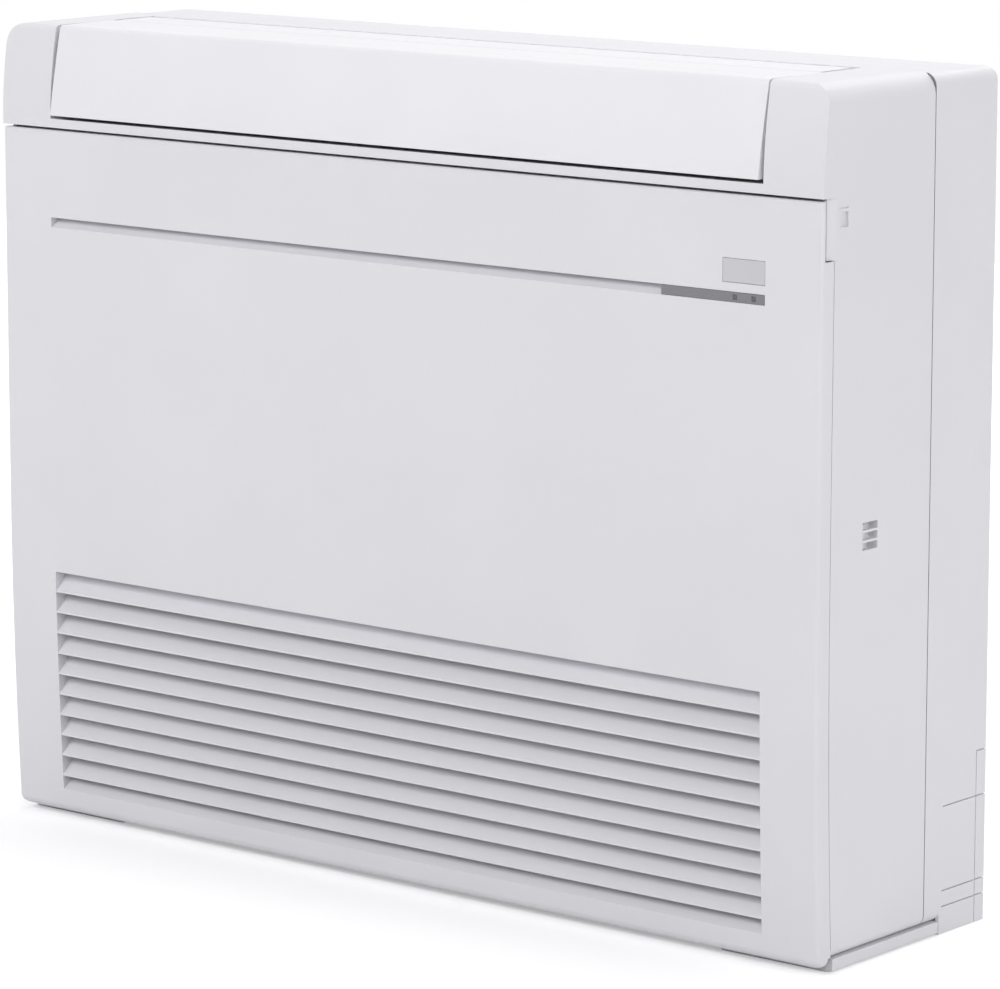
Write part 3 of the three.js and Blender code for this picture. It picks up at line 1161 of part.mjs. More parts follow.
// Control board on four posts with two capacitors and a relay.
function controlBoard() {
  const back = BOX_FRONT + BOX_DEPTH - BOX_WALL - FIT;
  const [x0, x1] = [BOX_LEFT + 5, BOX_LEFT + BOX_WIDTH - 5];
  const foot = BOX_FOOT + BOARD_RAISE;
  const head = foot + BOARD_HEIGHT;
  const face = back - BOARD_STAND - BOARD_THICK;
  const post = 4;
  const posts = [x0 + post, x1 - post].flatMap((x) => [foot + post, head - post].map((z) => rodY(
    x, z, post / 2, face + BOARD_THICK / 2, back, 10,
  )));
  const capacitors = [1, 2].map((i) => rodY(x0 + CAPACITOR_RADIUS * 1.4, foot + i * CAPACITOR_RADIUS * 3,
    CAPACITOR_RADIUS, face - CAPACITOR_HEIGHT, face + 0.5));
  const relay = block(x0 + post, x1 - post, face - CAPACITOR_HEIGHT / 2, face + 0.5,
    foot + BOARD_HEIGHT * 0.6, foot + BOARD_HEIGHT * 0.76);
  return join(block(x0, x1, face, face + BOARD_THICK, foot, head), ...posts, ...capacitors, relay);
}

// Housing of the receiver and lamp board on the upright frame, with a bore for the reset button.
function indicatorUnit() {
  const back = FRAME_DEPTH - FIT;
  const front = back - INDICATOR_DEPTH;
  const right = STRIP_RIGHT + INDICATOR_OVERHANG;
  const top = windowPlace().top + FIT * 9;
  const shell = block(right - INDICATOR_WIDTH, right, front, back, GROOVE_FOOT - GROOVE_HEIGHT, top);
  const bore = rodY(BUTTON_AT, BUTTON_RISE, BUTTON_RADIUS + RUN, front - 1, back - 2, 16);
  return shell.subtract(bore);
}
// Button that lies in its bore, for a finger tip or a pen.
function resetButton() {
  const back = FRAME_DEPTH - FIT;
  const front = back - INDICATOR_DEPTH;
  const rear = back - 2 - BUTTON_TRAVEL - RUN;
  return rodY(BUTTON_AT, BUTTON_RISE, BUTTON_RADIUS, front + BUTTON_RECESS, rear, 16);
}
function roomSensor() {
  const face = HALF - WALL - FIT;
  const top = SENSOR_RISE + SENSOR_SLOTS * SENSOR_SLOT_PITCH;
  const end = SENSOR_DEPTH_AT + SENSOR_SLOT_LENGTH;
  return join(
    block(face - 8, face, SENSOR_DEPTH_AT - 4, end + 4, SENSOR_RISE - 4, top + 3)
      .subtract(block(face - 5, face + 1, SENSOR_DEPTH_AT - 1, end + 1, SENSOR_RISE - 1, top)),
    prismZ(circle(face - 3.4, SENSOR_DEPTH_AT + SENSOR_SLOT_LENGTH / 2, 2, 10), SENSOR_RISE - 3, top - 4),
  );
}

// ---- Filters and back ---------------------------------------------------------------------------

// Air filter: a thin sheet in a frame with two cross bars and a pull tab at the top.
function airFilter([x0, x1]) {
  const back = FRAME_DEPTH - FIT * 2;
  const front = back - FILTER_THICK;
  const foot = INTAKE_SILL - FILTER_LAP;
  const top = INTAKE_TOP + FILTER_LAP;
  const rim = 7;
  const pockets = [0, 1, 2].map((i) => {
    const low = foot + rim + ((top - foot - rim) * i) / 3;
    const high = foot + ((top - foot) * (i + 1)) / 3 - rim / 2;
    return join(
      block(x0 + rim, x1 - rim, front - 1, front + 1.6, low, high),
      block(x0 + rim, x1 - rim, back - 1.6, back + 1, low, high),
    );
  });
  const middle = (x0 + x1) / 2;
  return block(x0, x1, front, back, foot, top).subtract(join(...pockets))
    .add(block(middle - 20, middle + 20, front, front + 1.8, top - 1, top + 9));
}

// Galvanised back plate with pressed beads, hanging slots and the pipe opening.
function backPlate() {
  const front = CASING_DEPTH + FIT;
  const back = front + BACK_PLATE_THICK;
  const half = HALF - BACK_PLATE_MARGIN;
  const sheet = block(-half, half, front, back, BACK_PLATE_FOOT, HEIGHT - REAR_TOP_DROP - BACK_PLATE_MARGIN * 2);
  const beads = [0.24, 0.5, 0.78].map((share) => {
    const z = HEIGHT * share;
    return prismX([[back - 0.5, z - 9], [DEPTH, z - 6], [DEPTH, z + 6], [back - 0.5, z + 9]],
      -half + BEAD_INSET, half - BEAD_INSET);
  });
  const left = -half + 18;
  const pipeOpening = block(
    left, left + PIPE_OPENING, front - 1, DEPTH + 1, PIPE_OPENING_RISE, PIPE_OPENING_RISE + PIPE_OPENING * 0.8,
  );
  const cableHole = rodY(half - 50, PIPE_OPENING_RISE + 24, 14, front - 1, DEPTH + 1, 20);
  const hangers = [-1, 1].map((side) => {
    const x = side * WIDTH * 0.27;
    return block(x - 14, x + 14, front - 1, DEPTH + 1, HEIGHT - 92, HEIGHT - 84);
  });
  return join(sheet, ...beads).subtract(join(pipeOpening, cableHole, ...hangers, ...backScrewHoles()));
}
function backScrewPlaces() {
  return [-1, 1].flatMap((side) => [0.1, 0.5, 0.9].map((share) => [
    side * (HALF - WALL - BACK_LIP / 2), HEIGHT * share,
  ]));
}
function backScrewHoles() {
  const front = CASING_DEPTH - WALL - 1;
  return backScrewPlaces().map(([x, z]) => rodY(x, z, BACK_SCREW_RADIUS / 2 + RUN, front, DEPTH + 1, 12));
}
// Pan-head screw drawn about the plate's outer face, head to +Y, with a cross recess.
function backScrew() {
  const head = DEPTH - CASING_DEPTH - FIT * 2 - BACK_PLATE_THICK;
  const recess = join(block(-2, 2, head - 0.5, head + 1, -0.4, 0.4), block(-0.4, 0.4, head - 0.5, head + 1, -2, 2));
  return join(
    rodY(0, 0, BACK_SCREW_RADIUS, 0, head, 14),
    rodY(0, 0, BACK_SCREW_RADIUS * 0.5, -BACK_PLATE_THICK - WALL - 3, 0.2, 10),
  ).subtract(recess);
}

// ---- The assembly ---------------------------------------------------------------------------------

const SIDES = ['left', 'right'];

place(unit, 'base_plinth', basePlinth(), shellWhite);
place(unit, 'front_casing', frontCasing(), shellWhite);
place(unit, 'rear_casing', rearCasing(), shellWhite);
place(unit, 'back_plate', backPlate(), galvanised);
backScrewPlaces().forEach(([x, z], i) => {
  place(unit, `back_screw_${i + 1}`, backScrew(), galvanised)
    .position.set(x, CASING_DEPTH + FIT * 2 + BACK_PLATE_THICK, z);
});

const panel = place(unit, 'front_panel', frontPanel(), shellWhite);
place(panel, 'display_strip', displayStrip(), displayGrey);
lensPlaces().forEach((x, i) => place(panel, `indicator_lens_${SIDES[i]}`, lens(x), lensDark));
place(panel, 'receiver_window', receiverWindow(), windowGrey);
panelHingeShape().brackets.forEach((shape, i) => place(unit, `panel_hinge_${SIDES[i]}`, shape, shellWhite));

place(unit, 'outlet_flap', outletFlap(), flapWhite);
place(unit, 'top_vane', topVane(), flapWhite);
place(unit, 'flap_motor', stepper(FLAP_AXIS_DEPTH, FLAP_AXIS_RISE,
  FLAP_AXIS_DEPTH + STEPPER_OFFSET, FLAP_AXIS_RISE, STEPPER_EAR / 4, STEPPER_EAR), motorSteel);
place(unit, 'top_vane_motor', stepper(VANE_AXIS_DEPTH, VANE_AXIS_RISE,
  VANE_AXIS_DEPTH, VANE_AXIS_RISE - STEPPER_OFFSET, STEPPER_EAR, STEPPER_EAR / 4), motorSteel);

place(unit, 'duct_rear_wall', ductRearWall(), ductWhite);
place(unit, 'duct_front_wall', ductFrontWall(), ductWhite);
mirrored(SIDE_FRAME_AT, SIDE_FRAME_AT + SIDE_FRAME_WALL).forEach((span, i) => {
  place(unit, `side_frame_${SIDES[i]}`, sideFrame(span), galvanised);
});
place(unit, 'fan', fanWheel(), darkPlastic).position.set(0, FAN_DEPTH, FAN_RISE);
place(unit, 'fan_bearing', fanBearing(), darkPlastic);
place(unit, 'fan_motor', fanMotor(), motorSteel);

guidePlaces().forEach((x, i) => {
  const vane = place(unit, `guide_vane_${i + 1}`, guideVane(), darkPlastic);
  vane.position.set(x, GUIDE_PIVOT.x, GUIDE_PIVOT.y);
  vane.rotation.x = GUIDE_TILT;
});
place(unit, 'guide_vane_link', turned(guideLink()), darkPlastic);

place(unit, 'heat_exchanger', heatExchanger(), aluminium);
place(unit, 'coil_end_plate_left', coilEndPlate(COIL_LEFT - FIT - PLATE_THICK), galvanised);
place(unit, 'coil_end_plate_right', coilEndPlate(COIL_RIGHT + FIT), galvanised);
Array.from({ length: BEND_COUNT }, (_, i) => place(unit, `return_bend_${i + 1}`, returnBend(i), copper));
pipePlaces().forEach((pipe) => {
  place(unit, pipe.name, coilPipe(pipe), copper);
  place(unit, `${pipe.name}_nut`, flareNut(pipe), brass);
});
place(unit, 'drain_pan', drainPan(), foamGrey);

mirrored(MULLION / 2 - FILTER_LAP, INTAKE_HALF + FILTER_LAP).forEach((span, i) => {
  place(unit, `filter_${SIDES[i]}`, airFilter(span), filterGrey);
});
place(unit, 'indicator_unit', indicatorUnit(), ductWhite);
place(unit, 'reset_button', resetButton(), buttonGrey);
place(unit, 'electrical_box', electricalBox(), galvanised);
place(unit, 'electrical_cover', electricalCover(), galvanised);
place(unit, 'terminal_block', terminalBlock(), darkPlastic);
place(unit, 'control_board', controlBoard(), boardGreen);
place(unit, 'room_sensor', roomSensor(), ductWhite);

export default unit;
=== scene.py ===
# %% [markdown]
# # A floor standing air conditioner
# The cabinet stands on its foot by a wall. Air enters through the louvres of the bowed front panel,
# passes two filters and a slanting coil, and a long fan wheel blows it out at the top between a flap
# and a vane. The pieces arrive at their real size and place. Here each one gets its finished surface.
# The first cell loads them.

# %% Load the construction
import json
import math

import bmesh
import bpy
import numpy as np
from mathutils import Matrix, Vector


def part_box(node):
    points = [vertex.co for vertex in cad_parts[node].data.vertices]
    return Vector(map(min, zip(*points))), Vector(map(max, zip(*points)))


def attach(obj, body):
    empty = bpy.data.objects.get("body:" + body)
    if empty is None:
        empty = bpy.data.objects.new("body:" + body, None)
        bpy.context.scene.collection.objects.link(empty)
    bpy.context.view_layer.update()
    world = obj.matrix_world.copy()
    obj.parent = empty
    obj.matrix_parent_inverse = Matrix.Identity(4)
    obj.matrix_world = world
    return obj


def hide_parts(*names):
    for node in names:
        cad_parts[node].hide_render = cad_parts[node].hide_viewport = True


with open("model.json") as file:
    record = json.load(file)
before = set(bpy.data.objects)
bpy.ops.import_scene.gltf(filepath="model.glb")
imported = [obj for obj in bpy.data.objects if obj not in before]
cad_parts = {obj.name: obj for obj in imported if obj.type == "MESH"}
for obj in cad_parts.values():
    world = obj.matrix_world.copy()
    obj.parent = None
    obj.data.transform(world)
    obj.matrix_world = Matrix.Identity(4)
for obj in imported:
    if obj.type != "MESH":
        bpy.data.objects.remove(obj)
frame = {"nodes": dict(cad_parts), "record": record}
NODES = frame["nodes"]
BODIES = frame["record"]["behaviour"]["bodies"]
BODY_OF = {node: body for body, members in BODIES.items() for node in members}
SLOT_OF = {part["node"]: part["material_slot"] for part in frame["record"]["subparts"]}
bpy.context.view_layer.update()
MM = 0.001

# %% [markdown]
# ## The camera
# The photographer stood to the right of the front, a little above the cabinet, and used a long lens:
# opposite edges of the cabinet stay almost parallel. A direction, a distance and a point to look at
# say all of that. The camera is placed by them, and its lens sets how much of the width is seen.

# %% Camera
AZIMUTH = math.radians(39.29)
ELEVATION = math.radians(10.28)
DISTANCE = 3.566
LOOK_AT = Vector((0.0218, -0.00155, 0.2757))
LENS = 178.6

back = Vector((
    math.sin(AZIMUTH) * math.cos(ELEVATION), -math.cos(AZIMUTH) * math.cos(ELEVATION), math.sin(ELEVATION),
))
camera = bpy.data.objects.new("camera", bpy.data.cameras.new("camera"))
camera.data.lens = LENS
camera.data.sensor_width = 36
camera.location = LOOK_AT + back * DISTANCE
camera.rotation_euler = (-back).to_track_quat("-Z", "Y").to_euler()
bpy.context.scene.collection.objects.link(camera)
bpy.context.scene.camera = camera
bpy.context.scene.view_settings.view_transform = "Standard"
print("camera at", [round(value, 3) for value in camera.location])

# %% [markdown]
# ## Light, floor and backdrop
# White plastic shows its form by small differences of shade, so the light is broad and soft: a pale
# world round the object, a wide lamp above and a little behind, two large ones high on either side of the
# camera, one at the right side and one at the back. They are set so that a surface facing the camera
# renders about as bright as its colour is written, and the top a little brighter. The world and the floor
# are white to the camera, and the floor still takes the shadow.

# %% World and lamps
WORLD_GREY = (0.97, 0.965, 0.975, 1)
WORLD_STRENGTH = 0.26
# name, place in metres, width, watts
LAMPS = [
    ("lamp_above", (0.0, 0.7, 2.5), 2.0, 26),
    ("lamp_front", (-1.1, -2.6, 2.1), 1.7, 46),
    ("lamp_corner", (2.1, -2.8, 2.0), 1.5, 28),
    ("lamp_side", (3.0, -0.1, 1.1), 1.4, 23),
    ("lamp_behind", (0.2, 3.0, 1.6), 2.0, 26),
]


def seen_directly(nodes):
    """A socket that is 1 for camera, mirror and glass rays: the greatest of the three flags."""
    path = nodes.new("ShaderNodeLightPath")
    links = nodes.id_data.links
    value = path.outputs["Is Camera Ray"]
    for other in ("Is Glossy Ray", "Is Transmission Ray"):
        either = nodes.new("ShaderNodeMath")
        either.operation = "MAXIMUM"
        links.new(value, either.inputs[0])
        links.new(path.outputs[other], either.inputs[1])
        value = either.outputs[0]
    return value


def pale_world():
    """Soft grey light for the object, and plain white where the world is looked at."""
    world = bpy.data.worlds.new("pale_world")
    world.use_nodes = True
    nodes, links = world.node_tree.nodes, world.node_tree.links
    nodes.clear()
    glow = nodes.new("ShaderNodeBackground")
    glow.inputs["Color"].default_value = WORLD_GREY
    glow.inputs["Strength"].default_value = WORLD_STRENGTH
    white = nodes.new("ShaderNodeBackground")
    white.inputs["Color"].default_value = (1, 1, 1, 1)
    mix = nodes.new("ShaderNodeMixShader")
    links.new(seen_directly(nodes), mix.inputs[0])
    links.new(glow.outputs[0], mix.inputs[1])
    links.new(white.outputs[0], mix.inputs[2])
    links.new(mix.outputs[0], nodes.new("ShaderNodeOutputWorld").inputs[0])
    return world


def lamp(name, place, width, watts):
    """A square area lamp that points at the middle of the cabinet."""
    data = bpy.data.lights.new(name, "AREA")
    data.size = width
    data.energy = watts
    light = bpy.data.objects.new(name, data)
    light.location = place
    light.rotation_euler = (LOOK_AT - Vector(place)).to_track_quat("-Z", "Y").to_euler()
    bpy.context.scene.collection.objects.link(light)


bpy.context.scene.world = pale_world()
for setting in LAMPS:
    lamp(*setting)
print("lamps:", len(LAMPS))

# %% Floor
FLOOR_COLOUR = (0.86, 0.86, 0.87, 1)
LIFT_NEAR = 0.34
LIFT_FAR = 0.8
LIFT_FROM = 0.6
LIFT_TO = 1.7
FLOOR_REACH = 3.0


def floor_finish():
    """Matt white, lifted for the camera: by LIFT_NEAR at the object, growing to LIFT_FAR further out."""
    material = bpy.data.materials.new("floor_white")
    material.use_nodes = True
    nodes, links = material.node_tree.nodes, material.node_tree.links
    nodes.clear()
    matt = nodes.new("ShaderNodeBsdfDiffuse")
    matt.inputs["Color"].default_value = FLOOR_COLOUR
    away = nodes.new("ShaderNodeVectorMath")
    away.operation = "LENGTH"
    links.new(nodes.new("ShaderNodeTexCoord").outputs["Object"], away.inputs[0])
    growth = nodes.new("ShaderNodeMapRange")
    settings = {"From Min": LIFT_FROM, "From Max": LIFT_TO, "To Min": LIFT_NEAR, "To Max": LIFT_FAR}
    for socket, value in settings.items():
        growth.inputs[socket].default_value = value
    links.new(away.outputs["Value"], growth.inputs["Value"])
    scaled = nodes.new("ShaderNodeMath")
    scaled.operation = "MULTIPLY"
    links.new(seen_directly(nodes), scaled.inputs[0])
    links.new(growth.outputs[0], scaled.inputs[1])
    lift = nodes.new("ShaderNodeEmission")
    links.new(scaled.outputs[0], lift.inputs["Strength"])
    both = nodes.new("ShaderNodeAddShader")
    links.new(matt.outputs[0], both.inputs[0])
    links.new(lift.outputs[0], both.inputs[1])
    links.new(both.outputs[0], nodes.new("ShaderNodeOutputMaterial").inputs[0])
    return material


def new_object(name, points, faces, material=None):
    """A mesh object at the origin from an array of points and a list or array of faces."""
    mesh = bpy.data.meshes.new(name)
    face_list = faces if isinstance(faces, list) else faces.tolist()
    mesh.from_pydata(np.asarray(points, float).tolist(), [], face_list)
    mesh.update()
    made = bpy.data.objects.new(name, mesh)
    bpy.context.scene.collection.objects.link(made)
    if material:
        mesh.materials.append(material)
    return made


corners = FLOOR_REACH * np.array([(-1, -1, 0), (1, -1, 0), (1, 1, 0), (-1, 1, 0)])
floor = new_object("floor", corners, [(0, 1, 2, 3)], floor_finish())

# %% [markdown]
# ## Finishes
# A moulded plastic is never one flat colour. The tool leaves a fine grain that breaks up reflections,
# the melt cools unevenly and leaves faint clouds, and a sheen lies over both. One function makes
# all the plastics here: slow noise shifts the colour by a percent or two, and a fine noise drives a
# shallow bump. Both read Object coordinates, so that neighbouring mouldings match at their seams.
# The open joint between the two halves of the cabinet is the darkest line on its side: a thin slice of depth
# there gets a darker tint, painted shade that deepens the shadow in the gap.

# %% Shader helpers


def fresh_material(name):
    """A node material with only a Principled shader and an output, and a reader of Object coordinates."""
    material = bpy.data.materials.new(name)
    material.use_nodes = True
    nodes, links = material.node_tree.nodes, material.node_tree.links
    nodes.clear()
    shader = nodes.new("ShaderNodeBsdfPrincipled")
    links.new(shader.outputs[0], nodes.new("ShaderNodeOutputMaterial").inputs[0])
    place = nodes.new("ShaderNodeTexCoord").outputs["Object"]
    return material, nodes, links, shader, place


def stretched(nodes, links, place, scale):
    """Coordinates multiplied along X, Y and Z, which stretches a pattern along the small numbers."""
    mapping = nodes.new("ShaderNodeMapping")
    mapping.inputs["Scale"].default_value = scale
    links.new(place, mapping.inputs["Vector"])
    return mapping.outputs[0]


def noise(nodes, links, place, per_metre, detail=2.0):
    """Smooth noise from 0 to 1 with a given number of blotches to the metre."""
    texture = nodes.new("ShaderNodeTexNoise")
    texture.inputs["Scale"].default_value = per_metre
    texture.inputs["Detail"].default_value = detail
    links.new(place, texture.inputs["Vector"])
    return texture.outputs["Fac"]


def ramp(nodes, links, value, low, high, dark, light):
    """Colour between two ends as a value goes from low to high."""
    colours = nodes.new("ShaderNodeValToRGB")
    colours.color_ramp.elements[0].position = low
    colours.color_ramp.elements[0].color = (*dark, 1)
    colours.color_ramp.elements[1].position = high
    colours.color_ramp.elements[1].color = (*light, 1)
    links.new(value, colours.inputs[0])
    return colours.outputs[0]


def bump(nodes, links, shader, height, depth, strength=1.0):
    """Bump of a height texture, its depth in metres."""
    node = nodes.new("ShaderNodeBump")
    node.inputs["Distance"].default_value = depth
    node.inputs["Strength"].default_value = strength
    links.new(height, node.inputs["Height"])
    links.new(node.outputs[0], shader.inputs["Normal"])


def shaded(colour, share):
    """The colour multiplied by a share."""
    return tuple(channel * share for channel in colour)


# %% Plastics
# The joint slice, and the share of the shell colour that is painted there as shade in the gap.
JOINT_GAP = 0.6 * MM
JOINT_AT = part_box("front_casing")[1][1] + JOINT_GAP / 2
JOINT_HALF = 0.45 * MM
JOINT_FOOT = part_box("front_casing")[0][2] + MM
PAINTED_JOINT_SHADE = 0.35


def painted_joint_shade_mask(nodes, links, place):
    """1 in the thin slice of depth where the halves of the cabinet meet, above its foot, and 0 elsewhere:
    where shade is painted.
    """
    axes = nodes.new("ShaderNodeSeparateXYZ")
    links.new(place, axes.inputs[0])
    at_joint = nodes.new("ShaderNodeMath")
    at_joint.operation = "COMPARE"
    links.new(axes.outputs["Y"], at_joint.inputs[0])
    at_joint.inputs[1].default_value = JOINT_AT
    at_joint.inputs[2].default_value = JOINT_HALF
    above = nodes.new("ShaderNodeMath")
    above.operation = "GREATER_THAN"
    links.new(axes.outputs["Z"], above.inputs[0])
    above.inputs[1].default_value = JOINT_FOOT
    both = nodes.new("ShaderNodeMath")
    both.operation = "MULTIPLY"
    links.new(at_joint.outputs[0], both.inputs[0])
    links.new(above.outputs[0], both.inputs[1])
    return both.outputs[0]


def moulded(name, colour, roughness, grain=2600.0, depth=0.00002, clouds=0.02, coat=0.0, joint=False):
    """Moulded plastic: clouds shift the colour, grain is a fine noise bump, coat is a glossy skin, joint
    paints shade.
    """
    material, nodes, links, shader, place = fresh_material(name)
    cloud = noise(nodes, links, place, 9.0, 4.0)
    tint = ramp(nodes, links, cloud, 0.3, 0.7, shaded(colour, 1 - clouds), shaded(colour, 1 + clouds / 2))
    # Painted shade: the slice at the joint between the halves gets a darker colour in place of the shadow in
    # the gap.
    if joint:
        mix = nodes.new("ShaderNodeMixRGB")
        links.new(painted_joint_shade_mask(nodes, links, place), mix.inputs[0])
        links.new(tint, mix.inputs[1])
        mix.inputs[2].default_value = (*shaded(colour, PAINTED_JOINT_SHADE), 1)
        tint = mix.outputs[0]
    links.new(tint, shader.inputs["Base Color"])
    shader.inputs["Roughness"].default_value = roughness
    shader.inputs["Coat Weight"].default_value = coat
    shader.inputs["Coat Roughness"].default_value = 0.12
    bump(nodes, links, shader, noise(nodes, links, place, grain, 3.0), depth)
    return material


SHELL = (0.726, 0.719, 0.752)
FINISHES = {
    "shell_plastic": moulded("shell_plastic", SHELL, 0.46, joint=True),
    "flap_plastic": moulded("flap_plastic", (0.785, 0.78, 0.81), 0.4, grain=3200.0, depth=0.000012),
    "strip_plastic": moulded("strip_plastic", (0.2, 0.2, 0.212), 0.42),
    "window_plastic": moulded("window_plastic", (0.56, 0.56, 0.59), 0.3, depth=0.000004, coat=0.25),
    "lens_plastic": moulded("lens_plastic", (0.085, 0.085, 0.095), 0.25, depth=0.000003, coat=0.3),
    "duct_plastic": moulded("duct_plastic", (0.58, 0.58, 0.6), 0.55, depth=0.00003),
    "holder_plastic": moulded("holder_plastic", (0.84, 0.84, 0.86), 0.6),
    "dark_plastic": moulded("dark_plastic", (0.04, 0.042, 0.046), 0.5, depth=0.00003, clouds=0.08),
    "button_plastic": moulded("button_plastic", (0.48, 0.48, 0.5), 0.4),
    "filter_plastic": moulded("filter_plastic", (0.12, 0.13, 0.15), 0.55, clouds=0.05),
}
print("plastics:", ", ".join(FINISHES))

# %% [markdown]
# ## Metals, foam and board
# Zinc freezes on sheet steel in flat crystals, each at its own angle, and the eye knows the sheet by
# them. A Voronoi texture has such cells: its random colour per cell sets the shade and the gloss. Drawn
# tube and rolled fins carry fine lines along their length, which a stretched noise gives.

# %% Metals and the rest


def galvanised(name, colour):
    """Zinc coated sheet: Voronoi cells 6 mm wide set shade and roughness, faint noise clouds them."""
    material, nodes, links, shader, place = fresh_material(name)
    cells = nodes.new("ShaderNodeTexVoronoi")
    cells.inputs["Scale"].default_value = 165
    links.new(place, cells.inputs["Vector"])
    split = nodes.new("ShaderNodeSeparateColor")
    links.new(cells.outputs["Color"], split.inputs[0])
    tint = ramp(nodes, links, split.outputs[0], 0, 1, shaded(colour, 0.9), shaded(colour, 1.05))
    links.new(tint, shader.inputs["Base Color"])
    rough = nodes.new("ShaderNodeMapRange")
    rough.inputs["To Min"].default_value = 0.34
    rough.inputs["To Max"].default_value = 0.5
    links.new(split.outputs[1], rough.inputs["Value"])
    links.new(rough.outputs[0], shader.inputs["Roughness"])
    shader.inputs["Metallic"].default_value = 1
    bump(nodes, links, shader, noise(nodes, links, place, 300, 2.0), 0.00002)
    return material


def drawn(name, colour, roughness, stretch, tarnish=0.12, depth=0.00001):
    """Drawn or rolled metal: noise stretched along the work gives fine lines, clouds of tarnish darken."""
    material, nodes, links, shader, place = fresh_material(name)
    cloud = noise(nodes, links, place, 40, 4.0)
    tint = ramp(nodes, links, cloud, 0.3, 0.75, shaded(colour, 1 - tarnish), colour)
    links.new(tint, shader.inputs["Base Color"])
    shader.inputs["Metallic"].default_value = 1
    shader.inputs["Roughness"].default_value = roughness
    lines = noise(nodes, links, stretched(nodes, links, place, stretch), 60, 2.0)
    bump(nodes, links, shader, lines, depth)
    return material


def enamelled(name, colour):
    """Grey paint on a steel can: slight orange peel from a noise bump, under a soft coat."""
    material, nodes, links, shader, place = fresh_material(name)
    cloud = noise(nodes, links, place, 25, 3.0)
    tint = ramp(nodes, links, cloud, 0.3, 0.7, shaded(colour, 0.93), colour)
    links.new(tint, shader.inputs["Base Color"])
    shader.inputs["Roughness"].default_value = 0.42
    shader.inputs["Coat Weight"].default_value = 0.25
    bump(nodes, links, shader, noise(nodes, links, place, 700, 2.0), 0.00004)
    return material


def foam(name, colour):
    """Pressed foam: Voronoi beads 3 mm across stand out in the bump, and their edges are darker."""
    material, nodes, links, shader, place = fresh_material(name)
    beads = nodes.new("ShaderNodeTexVoronoi")
    beads.inputs["Scale"].default_value = 330
    links.new(place, beads.inputs["Vector"])
    tint = ramp(nodes, links, beads.outputs["Distance"], 0.2, 0.75, colour, shaded(colour, 0.85))
    links.new(tint, shader.inputs["Base Color"])
    shader.inputs["Roughness"].default_value = 0.85
    bump(nodes, links, shader, beads.outputs["Distance"], 0.0002, 0.6)
    return material


FINISHES |= {
    "galvanised_steel": galvanised("galvanised_steel", (0.4, 0.41, 0.42)),
    "fin_aluminium": drawn("fin_aluminium", (0.62, 0.64, 0.67), 0.34, (1, 8, 1), tarnish=0.08),
    "copper": drawn("copper", (0.62, 0.3, 0.17), 0.3, (6, 6, 1)),
    "brass": drawn("brass", (0.6, 0.47, 0.2), 0.3, (1, 1, 9)),
    "pan_foam": foam("pan_foam", (0.33, 0.34, 0.36)),
    "motor_steel": enamelled("motor_steel", (0.3, 0.31, 0.32)),
    "board": moulded("board", (0.03, 0.1, 0.05), 0.35, grain=900.0, clouds=0.15, coat=0.3),
}

# %% [markdown]
# ## Soft edges
# No real moulding or bent sheet ends in a mathematically sharp edge, and the thin line of light on an
# edge is what makes a housing look solid. The construction's meshes have sharp edges and loose
# triangles. Each gets a copy: points that coincide are merged, flat neighbours are joined into one face,
# and a Bevel modifier rounds what is left of the sharp edges. A Weighted Normal modifier then lets the
# large faces decide the shading, so that narrow ones beside them leave no streaks.

# %% Rounded copies of the construction
PLASTIC_EDGE = 0.5 * MM
CASING_EDGE = 0.2 * MM
TRIM_EDGE = 0.18 * MM
SHEET_EDGE = 0.2 * MM
NUT_EDGE = 0.3 * MM
SAME_POINT = 0.004 * MM
FLAT = math.radians(0.15)
SHARP = math.radians(32)
ROUND_TUBE = math.radians(50)


def soft_edges(piece, width, sharp=SHARP, segments=2):
    """Rounds every edge sharper than an angle, and shades the rest as smooth."""
    piece.data.shade_smooth()
    piece.data.set_sharp_from_angle(angle=sharp)
    if width:
        bevel = piece.modifiers.new("edge", "BEVEL")
        bevel.width = width
        bevel.segments = segments
        bevel.limit_method = "ANGLE"
        bevel.angle_limit = sharp
        bevel.harden_normals = True
        bevel.use_clamp_overlap = True
    weighted = piece.modifiers.new("shading", "WEIGHTED_NORMAL")
    weighted.mode = "FACE_AREA"
    weighted.keep_sharp = True
    return piece


def points_of(piece):
    """The points of a piece's mesh as an array."""
    flat = np.empty(len(piece.data.vertices) * 3)
    piece.data.vertices.foreach_get("co", flat)
    return flat.reshape(-1, 3)


# Painted light: the room sensor behind the side slots takes the paler holder plastic, to lift it out of the
# shade in the slots.
PAINTED_LIGHT_FINISH_OF_NODE = {"room_sensor": "holder_plastic"}


def stands_for(piece, node):
    """The piece takes a node's place, body and finish."""
    piece.data.materials.clear()
    piece.data.materials.append(FINISHES[PAINTED_LIGHT_FINISH_OF_NODE.get(node, SLOT_OF[node])])
    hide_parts(node)
    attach(piece, BODY_OF[node])
    return piece


def rounded_copy(node, width, sharp=SHARP):
    """A merged and rounded copy of a node."""
    mesh = NODES[node].data.copy()
    work = bmesh.new()
    work.from_mesh(mesh)
    bmesh.ops.remove_doubles(work, verts=work.verts, dist=SAME_POINT)
    bmesh.ops.dissolve_limit(work, angle_limit=FLAT, verts=work.verts, edges=work.edges)
    work.to_mesh(mesh)
    work.free()
    piece = bpy.data.objects.new(node + "_finished", mesh)
    bpy.context.scene.collection.objects.link(piece)
    return stands_for(soft_edges(piece, width, sharp), node)


